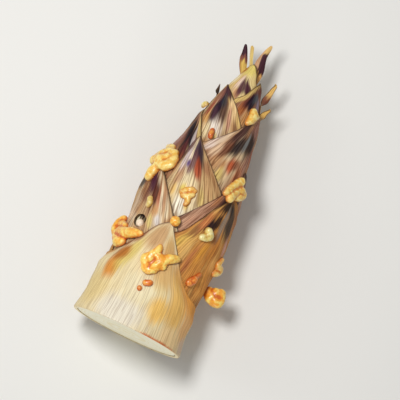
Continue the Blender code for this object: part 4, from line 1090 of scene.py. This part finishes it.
def flare_tip(sheath, turn, s, inner, thick):
    """A sheath's outer and inner face as (angle, s, radius), with its tip bent out and twisted.

    The twist turns the tip's width outwards, so that it faces up.
    """
    if not sheath[3]:
        return (turn, s, inner + thick), (turn, s, inner)
    rise, from_s, twist, twist_from, twist_to = sheath[3]
    left, right = (curve_through(side)(s) for side in sheath[4:])
    centre, half = (left + right) / 2, np.radians(right - left) / 2
    way = 1 if sheath[4][0][1] > 0 else -1
    bent = inner + rise * np.clip((s - from_s) / (s.max() - from_s), 0, 1) ** FLARE_CURVE
    roll = math.radians(twist) * smoothstep((s - twist_from) / (twist_to - twist_from))
    across = np.radians(turn - centre)
    bent = bent + bent * (half + across * way) * np.sin(roll)
    turned = centre + (turn - centre) * np.cos(roll)
    over = bent + thick * np.cos(roll)
    shifted = turned - way * np.degrees(thick * np.sin(roll) / over)
    return (shifted, s, over), (turned, s, bent)


CUT_RINGS = 24
CUT_MIDDLE = 0.35  # s of the cut face's middle
CUT_LEVEL = 0.1  # and of the rest
CUT_ROUNDING = 0.25  # how far its rim is rounded back
RIPPLE_HEIGHT = 0.14
RIPPLES = 1.9  # radians of ripple in a millimetre
CULM_SIDES = 96
CULM_ROWS = 40
CULM_START = 2
CULM_TOP = [(0.75, 1.0), (0.0, 1.4)]  # shares of its radius and how far they are above its side


def make_culm(radii, material):
    """The stem: a cut face of fine rings, its side and a rounded top."""
    face = [(0.0, CUT_MIDDLE)]
    for k in range(1, CUT_RINGS + 1):
        r = float(radii[0]) * k / CUT_RINGS
        level = CUT_LEVEL + CUT_ROUNDING * (k / CUT_RINGS) ** 3
        face.append((r, RIPPLE_HEIGHT * math.sin(r * RIPPLES) + level))
    side = [(float(np.interp(s, STATIONS, radii)), s)
            for s in np.linspace(CULM_START, CULM_LENGTH, CULM_ROWS)]
    top = [(side[-1][0] * share, CULM_LENGTH + above) for share, above in CULM_TOP]
    profile = face + side + top
    turn = np.linspace(0, 360, CULM_SIDES, endpoint=False)
    between = profile[1:-1]
    points = np.concatenate([*(to_world(turn, s, r) for r, s in between),
                             to_world(0.0, profile[0][1], 0.0)[None],
                             to_world(0.0, profile[-1][1], 0.0)[None]])
    place = np.concatenate([*(disc_map(r, turn) for r, s in between), np.zeros((2, 2))])
    faces = []
    for ring in range(len(between) - 1):
        for k in range(CULM_SIDES):
            a, b = ring * CULM_SIDES + k, ring * CULM_SIDES + (k + 1) % CULM_SIDES
            faces.append([a + CULM_SIDES, b + CULM_SIDES, b, a])
    first = len(between) * CULM_SIDES
    last = first - CULM_SIDES
    for k in range(CULM_SIDES):
        after = (k + 1) % CULM_SIDES
        faces += [[after, k, first], [last + k, last + after, first + 1]]
    return mesh_piece("culm", points, faces, {"place": place}, [material])


def make_blade(name, spine, crescent, material):
    """A free blade: a closed, thin, crescent-shaped strip tapering to its tip."""
    s_values = [row[0] for row in spine]
    share = [(s - s_values[0]) / (s_values[-1] - s_values[0]) for s in s_values]
    along = [curve_through(list(zip(share, [row[k] for row in spine]))) for k in range(5)]
    v, w = np.meshgrid(np.linspace(0, 1, BLADE_ROWS + 1), np.linspace(0, 1, BLADE_COLUMNS + 1),
                       indexing="ij")
    s, x, z, width, twist = (curve(v) for curve in along)
    roll = np.radians(twist)
    layers, maps = [], []
    for side in (1, 0):
        hollow = 1 - (2 * w - 1) ** 2
        thick = BLADE_THICKNESS * (BLADE_EDGE_SHARE + (1 - BLADE_EDGE_SHARE) * hollow)
        bend = crescent * width / BLADE_USUAL_WIDTH * hollow - (1 - side) * thick
        across = (w - 0.5) * width
        dx = across * np.cos(roll) + bend * np.sin(roll)
        dz = bend * np.cos(roll) - across * np.sin(roll)
        turn = np.degrees(np.arctan2(x + dx, z + dz))
        layers.append(to_world(turn, s, np.hypot(x + dx, z + dz)).reshape(-1, 3))
        maps.append(as_map(across, s - s_values[0]))
    return mesh_piece(name, np.concatenate(layers), sheet_faces(BLADE_ROWS, BLADE_COLUMNS),
                      {"fibre": np.concatenate(maps)}, [material])


def lobe_run(stroke):
    """Evenly spaced lobes along a stroke."""
    found = [stroke[0]]
    for start, end in zip(stroke, stroke[1:]):
        start, end = np.array(start), np.array(end)
        across = math.radians(end[1] - start[1]) * float(outer_profile(start[0]))
        length = math.hypot(end[0] - start[0], across)
        count = max(1, math.ceil(length / (LOBE_SPACING * min(start[2], end[2]))))
        found += [tuple(start + (end - start) * (k + 1) / count) for k in range(count)]
    return found


def crease_depth(points, normals, ends):
    """How deep each point lies in a crease, in typical depths of its clump; crowns are below 0."""
    calm = points
    joined = np.bincount(ends.ravel(), minlength=len(points))[:, None]
    for _ in range(CREASE_STEPS):
        total = np.zeros_like(calm)
        np.add.at(total, ends[:, 0], calm[ends[:, 1]])
        np.add.at(total, ends[:, 1], calm[ends[:, 0]])
        calm = total / joined
    depth = ((calm - points) * normals).sum(axis=1)
    return np.clip((depth - np.median(depth)) / depth.std(), -CREASE_LIMIT, CREASE_LIMIT)


def make_crumb(name, strokes, field, material):
    """A clump of fused lobes with small knobs, flattened against the sheaths it sticks to."""
    ball = bpy.data.metaballs.new(name)
    lobes = [lobe for stroke in strokes for lobe in lobe_run(stroke)]
    mean = sum(lobe[2] for lobe in lobes) / len(lobes)
    ball.resolution = min(CRUMB_CELL, mean * CRUMB_CELL_SHARE)
    ball.threshold = METABALL_THRESHOLD
    for s, turn, radius, lift in lobes:
        element = ball.elements.new()
        s = float(true_s(s, turn, lift))
        rest = float(look_up(field, turn, s)) + CRUMB_GAP + lift
        element.co = Vector(to_world(turn, s, rest)) / MM
        element.radius = radius * METABALL_SPREAD
        element.stiffness = METABALL_STIFFNESS
    source = add_object(name + "_lobes", ball)
    mesh = evaluated_mesh(source)
    bpy.data.objects.remove(source)
    bm = bmesh.new()
    bm.from_mesh(mesh)
    bmesh.ops.triangulate(bm, faces=bm.faces)
    for _ in range(SMOOTHING_PASSES):
        bmesh.ops.smooth_vert(bm, verts=bm.verts, factor=SMOOTHING, use_axis_x=True,
                              use_axis_y=True, use_axis_z=True)
    bm.normal_update()
    for vert in bm.verts:
        knobs = KNOB[1] * (0.5 - noise.voronoi(vert.co / KNOB[0])[0][0])
        swell = SWELL[1] * noise.noise(vert.co / SWELL[0])
        bumps = BUMP[1] * noise.noise(vert.co / BUMP[0])
        vert.co += vert.normal * (knobs + swell + bumps)
    for vert in bm.verts:
        vert.co *= MM
    points = np.array([vert.co for vert in bm.verts])
    turn, s, radius = to_shoot(points)
    floor = look_up(field, turn, s) + CRUMB_GAP
    points = np.where((radius < floor)[:, None], to_world(turn, s, floor), points)
    bm.normal_update()
    ends = np.array([[vert.index for vert in edge.verts] for edge in bm.edges])
    normals = np.array([vert.normal for vert in bm.verts])
    faces = [[vert.index for vert in face.verts] for face in bm.faces]
    bm.free()
    crumb = as_map(np.maximum(radius - floor, 0), crease_depth(points, normals, ends))
    return mesh_piece(name, points, faces, {"crumb": crumb}, [material])


def drill_hole(made, inside):
    """The oval hole through a sheath, its rim a little uneven."""
    s, turn = HOLE_AT
    s = float(true_s(s, turn))
    middle = Vector(to_world(turn, s, float(look_up(inside, turn, s)) + GAP))
    outward = (middle - Vector(to_world(0.0, s, 0.0))).normalized()
    bm = bmesh.new()
    bmesh.ops.create_cone(bm, cap_ends=True, segments=HOLE_SIDES, radius1=1, radius2=1,
                          depth=HOLE_CUT_DEPTH)
    for vert in bm.verts:
        angle = math.atan2(vert.co.y, vert.co.x)
        scale = sum((height * math.sin(count * angle + start)
                     for count, start, height in RIM_WAVES), 1)
        vert.co.x *= scale * HOLE_ALONG
        vert.co.y *= scale * HOLE_ROUND
    bm.transform(Matrix.Translation(middle) @ outward.to_track_quat("Z", "Y").to_matrix().to_4x4()
                 @ Matrix.Scale(MM, 4))
    mesh = bpy.data.meshes.new("hole_cutter")
    bm.to_mesh(mesh)
    bm.free()
    cutter = add_object("hole_cutter", mesh)
    boolean = made.modifiers.new("Hole", "BOOLEAN")
    boolean.operation = "DIFFERENCE"
    boolean.solver = "EXACT"
    boolean.object = cutter
    cut_mesh = evaluated_mesh(made)
    made.modifiers.clear()
    made.data = cut_mesh
    bpy.data.objects.remove(cutter)


radii = fit_culm()
grids, below, field = lay_all(radii)
cut_flesh = cut_material("cut_flesh", (252, 247, 220), (244, 232, 186))
cut_husk = cut_material("cut_husk", (246, 232, 186), (226, 192, 126))

finish_piece(make_culm(radii, cut_flesh), "culm")
for index, sheath in enumerate(SHEATHS):
    name = sheath[0]
    made = make_sheath(sheath, grids[name], index + 1, cut_husk)
    if name == HOLED_SHEATH:
        drill_hole(made, below[name])
    finish_piece(made, name)

# Each blade's looks: the colour of its foot, then where along it the next two colours start, and
# a strip along its left edge as (from, to, how far across, colour), in millimetres.
BLADE_LOOKS = {
    "blade_left": dict(foot=(214, 178, 92), middle=(19, (128, 78, 64)), tip=(23, (66, 36, 48)),
                       strip=(8, 21, -2.2, (150, 96, 54))),
    "blade_thin": dict(foot=(206, 168, 96), middle=(14, (222, 194, 120)), tip=(29, (214, 180, 104)),
                       strip=(16, 30, -1.2, (176, 140, 76))),
    "blade_right": dict(foot=(232, 176, 104), middle=(15.5, (72, 38, 46)), tip=(31.5, (216, 178, 112)),
                        strip=(13, 34, -1.3, (200, 156, 118))),
}
BLADE_SEED = 31
for index, (name, (spine, crescent)) in enumerate(BLADES.items()):
    material = blade_material(name, BLADE_LOOKS[name], BLADE_SEED + 2 * index)
    finish_piece(make_blade(name, spine, crescent, material), name)

finishes = {key: crumb_material("crumb_" + key, look) for key, look in CRUMB_LOOKS.items()}
for name, (finish, strokes) in CRUMBS.items():
    ground = below[HOLED_SHEATH] if name == "crumb_in_hole" else field
    made = make_crumb(name, strokes, ground, finishes[finish])
    finish_piece(made, name)


# ---------------------------------------------------------------- floor, light and camera

FLOOR_HALF = 6.0
PAPER = (226, 225, 221)


def make_floor():
    mesh = bpy.data.meshes.new("floor")
    corners = [(-1, -1), (1, -1), (1, 1), (-1, 1)]
    mesh.from_pydata([(x * FLOOR_HALF, y * FLOOR_HALF, 0) for x, y in corners], [], [(0, 1, 2, 3)])
    made = add_object("floor", mesh)
    mesh.materials.append(Material("paper").finish(srgb(*PAPER), 0.9, 0.1))


def add_light(name, position, target, power, size):
    data = bpy.data.lights.new(name, "AREA")
    data.energy = power
    data.shape = "DISK"
    data.size = size
    made = add_object(name, data)
    made.location = position
    made.rotation_euler = (Vector(target) - Vector(position)).to_track_quat("-Z", "Y").to_euler()


make_floor()

centre = (cad_low + cad_high) / 2
VIEW_AZIMUTH = math.radians(26.0)
VIEW_ELEVATION = math.radians(85.5)
VIEW_DISTANCE = 11.0
FRAME_WIDTH = 0.3042
SENSOR_WIDTH = 36.0
VIEW_AT = (0.0061, 0.1154, 0.0396)  # in metres from the floor below the cut face
target = Vector((AXIS_X * MM + VIEW_AT[0], FOOT_Y * MM + VIEW_AT[1], VIEW_AT[2]))
back = Vector((math.sin(VIEW_AZIMUTH) * math.cos(VIEW_ELEVATION),
               -math.cos(VIEW_AZIMUTH) * math.cos(VIEW_ELEVATION), math.sin(VIEW_ELEVATION)))
side = Vector((math.cos(VIEW_AZIMUTH), math.sin(VIEW_AZIMUTH), 0))
upward = back.cross(side)
camera_data = bpy.data.cameras.new("camera")
camera_data.sensor_width = SENSOR_WIDTH
camera_data.lens = SENSOR_WIDTH * VIEW_DISTANCE / FRAME_WIDTH
camera_data.clip_start = 0.1
camera_data.clip_end = 30.0
camera = add_object("camera", camera_data)
camera.location = target + back * VIEW_DISTANCE
camera.rotation_mode = "QUATERNION"
camera.rotation_quaternion = Matrix((side, upward, back)).transposed().to_quaternion()
bpy.context.scene.camera = camera


def from_picture(right, up, height):
    """A place above the floor given as metres right and up in the camera's picture."""
    flat_up = Vector((-side.y, side.x, 0))
    return Vector((centre.x, centre.y, 0)) + side * right + flat_up * up + Vector((0, 0, height))


# Each light's place in the picture, the height that it points at, its power and its size.
LIGHTS = {"key": ((-0.21, 0.17, 1.0), 0, 7.3, 0.24), "side": ((-1.2, 0.3, 1.0), 0, 1.5, 0.5),
          "low": ((-0.5, -1.6, 0.35), 0.04, 5.0, 0.3)}
for name, (place, height, power, size) in LIGHTS.items():
    add_light(name, from_picture(*place), (0, 0, height), power, size)

SKY_COLOUR = (1.0, 0.99, 0.975, 1)
SKY_STRENGTH = 0.36
world = bpy.data.worlds.new("world")
bpy.context.scene.world = world
world.use_nodes = True
background = world.node_tree.nodes["Background"]
background.inputs["Color"].default_value = SKY_COLOUR
background.inputs["Strength"].default_value = SKY_STRENGTH
bpy.context.scene.view_settings.view_transform = "Standard"
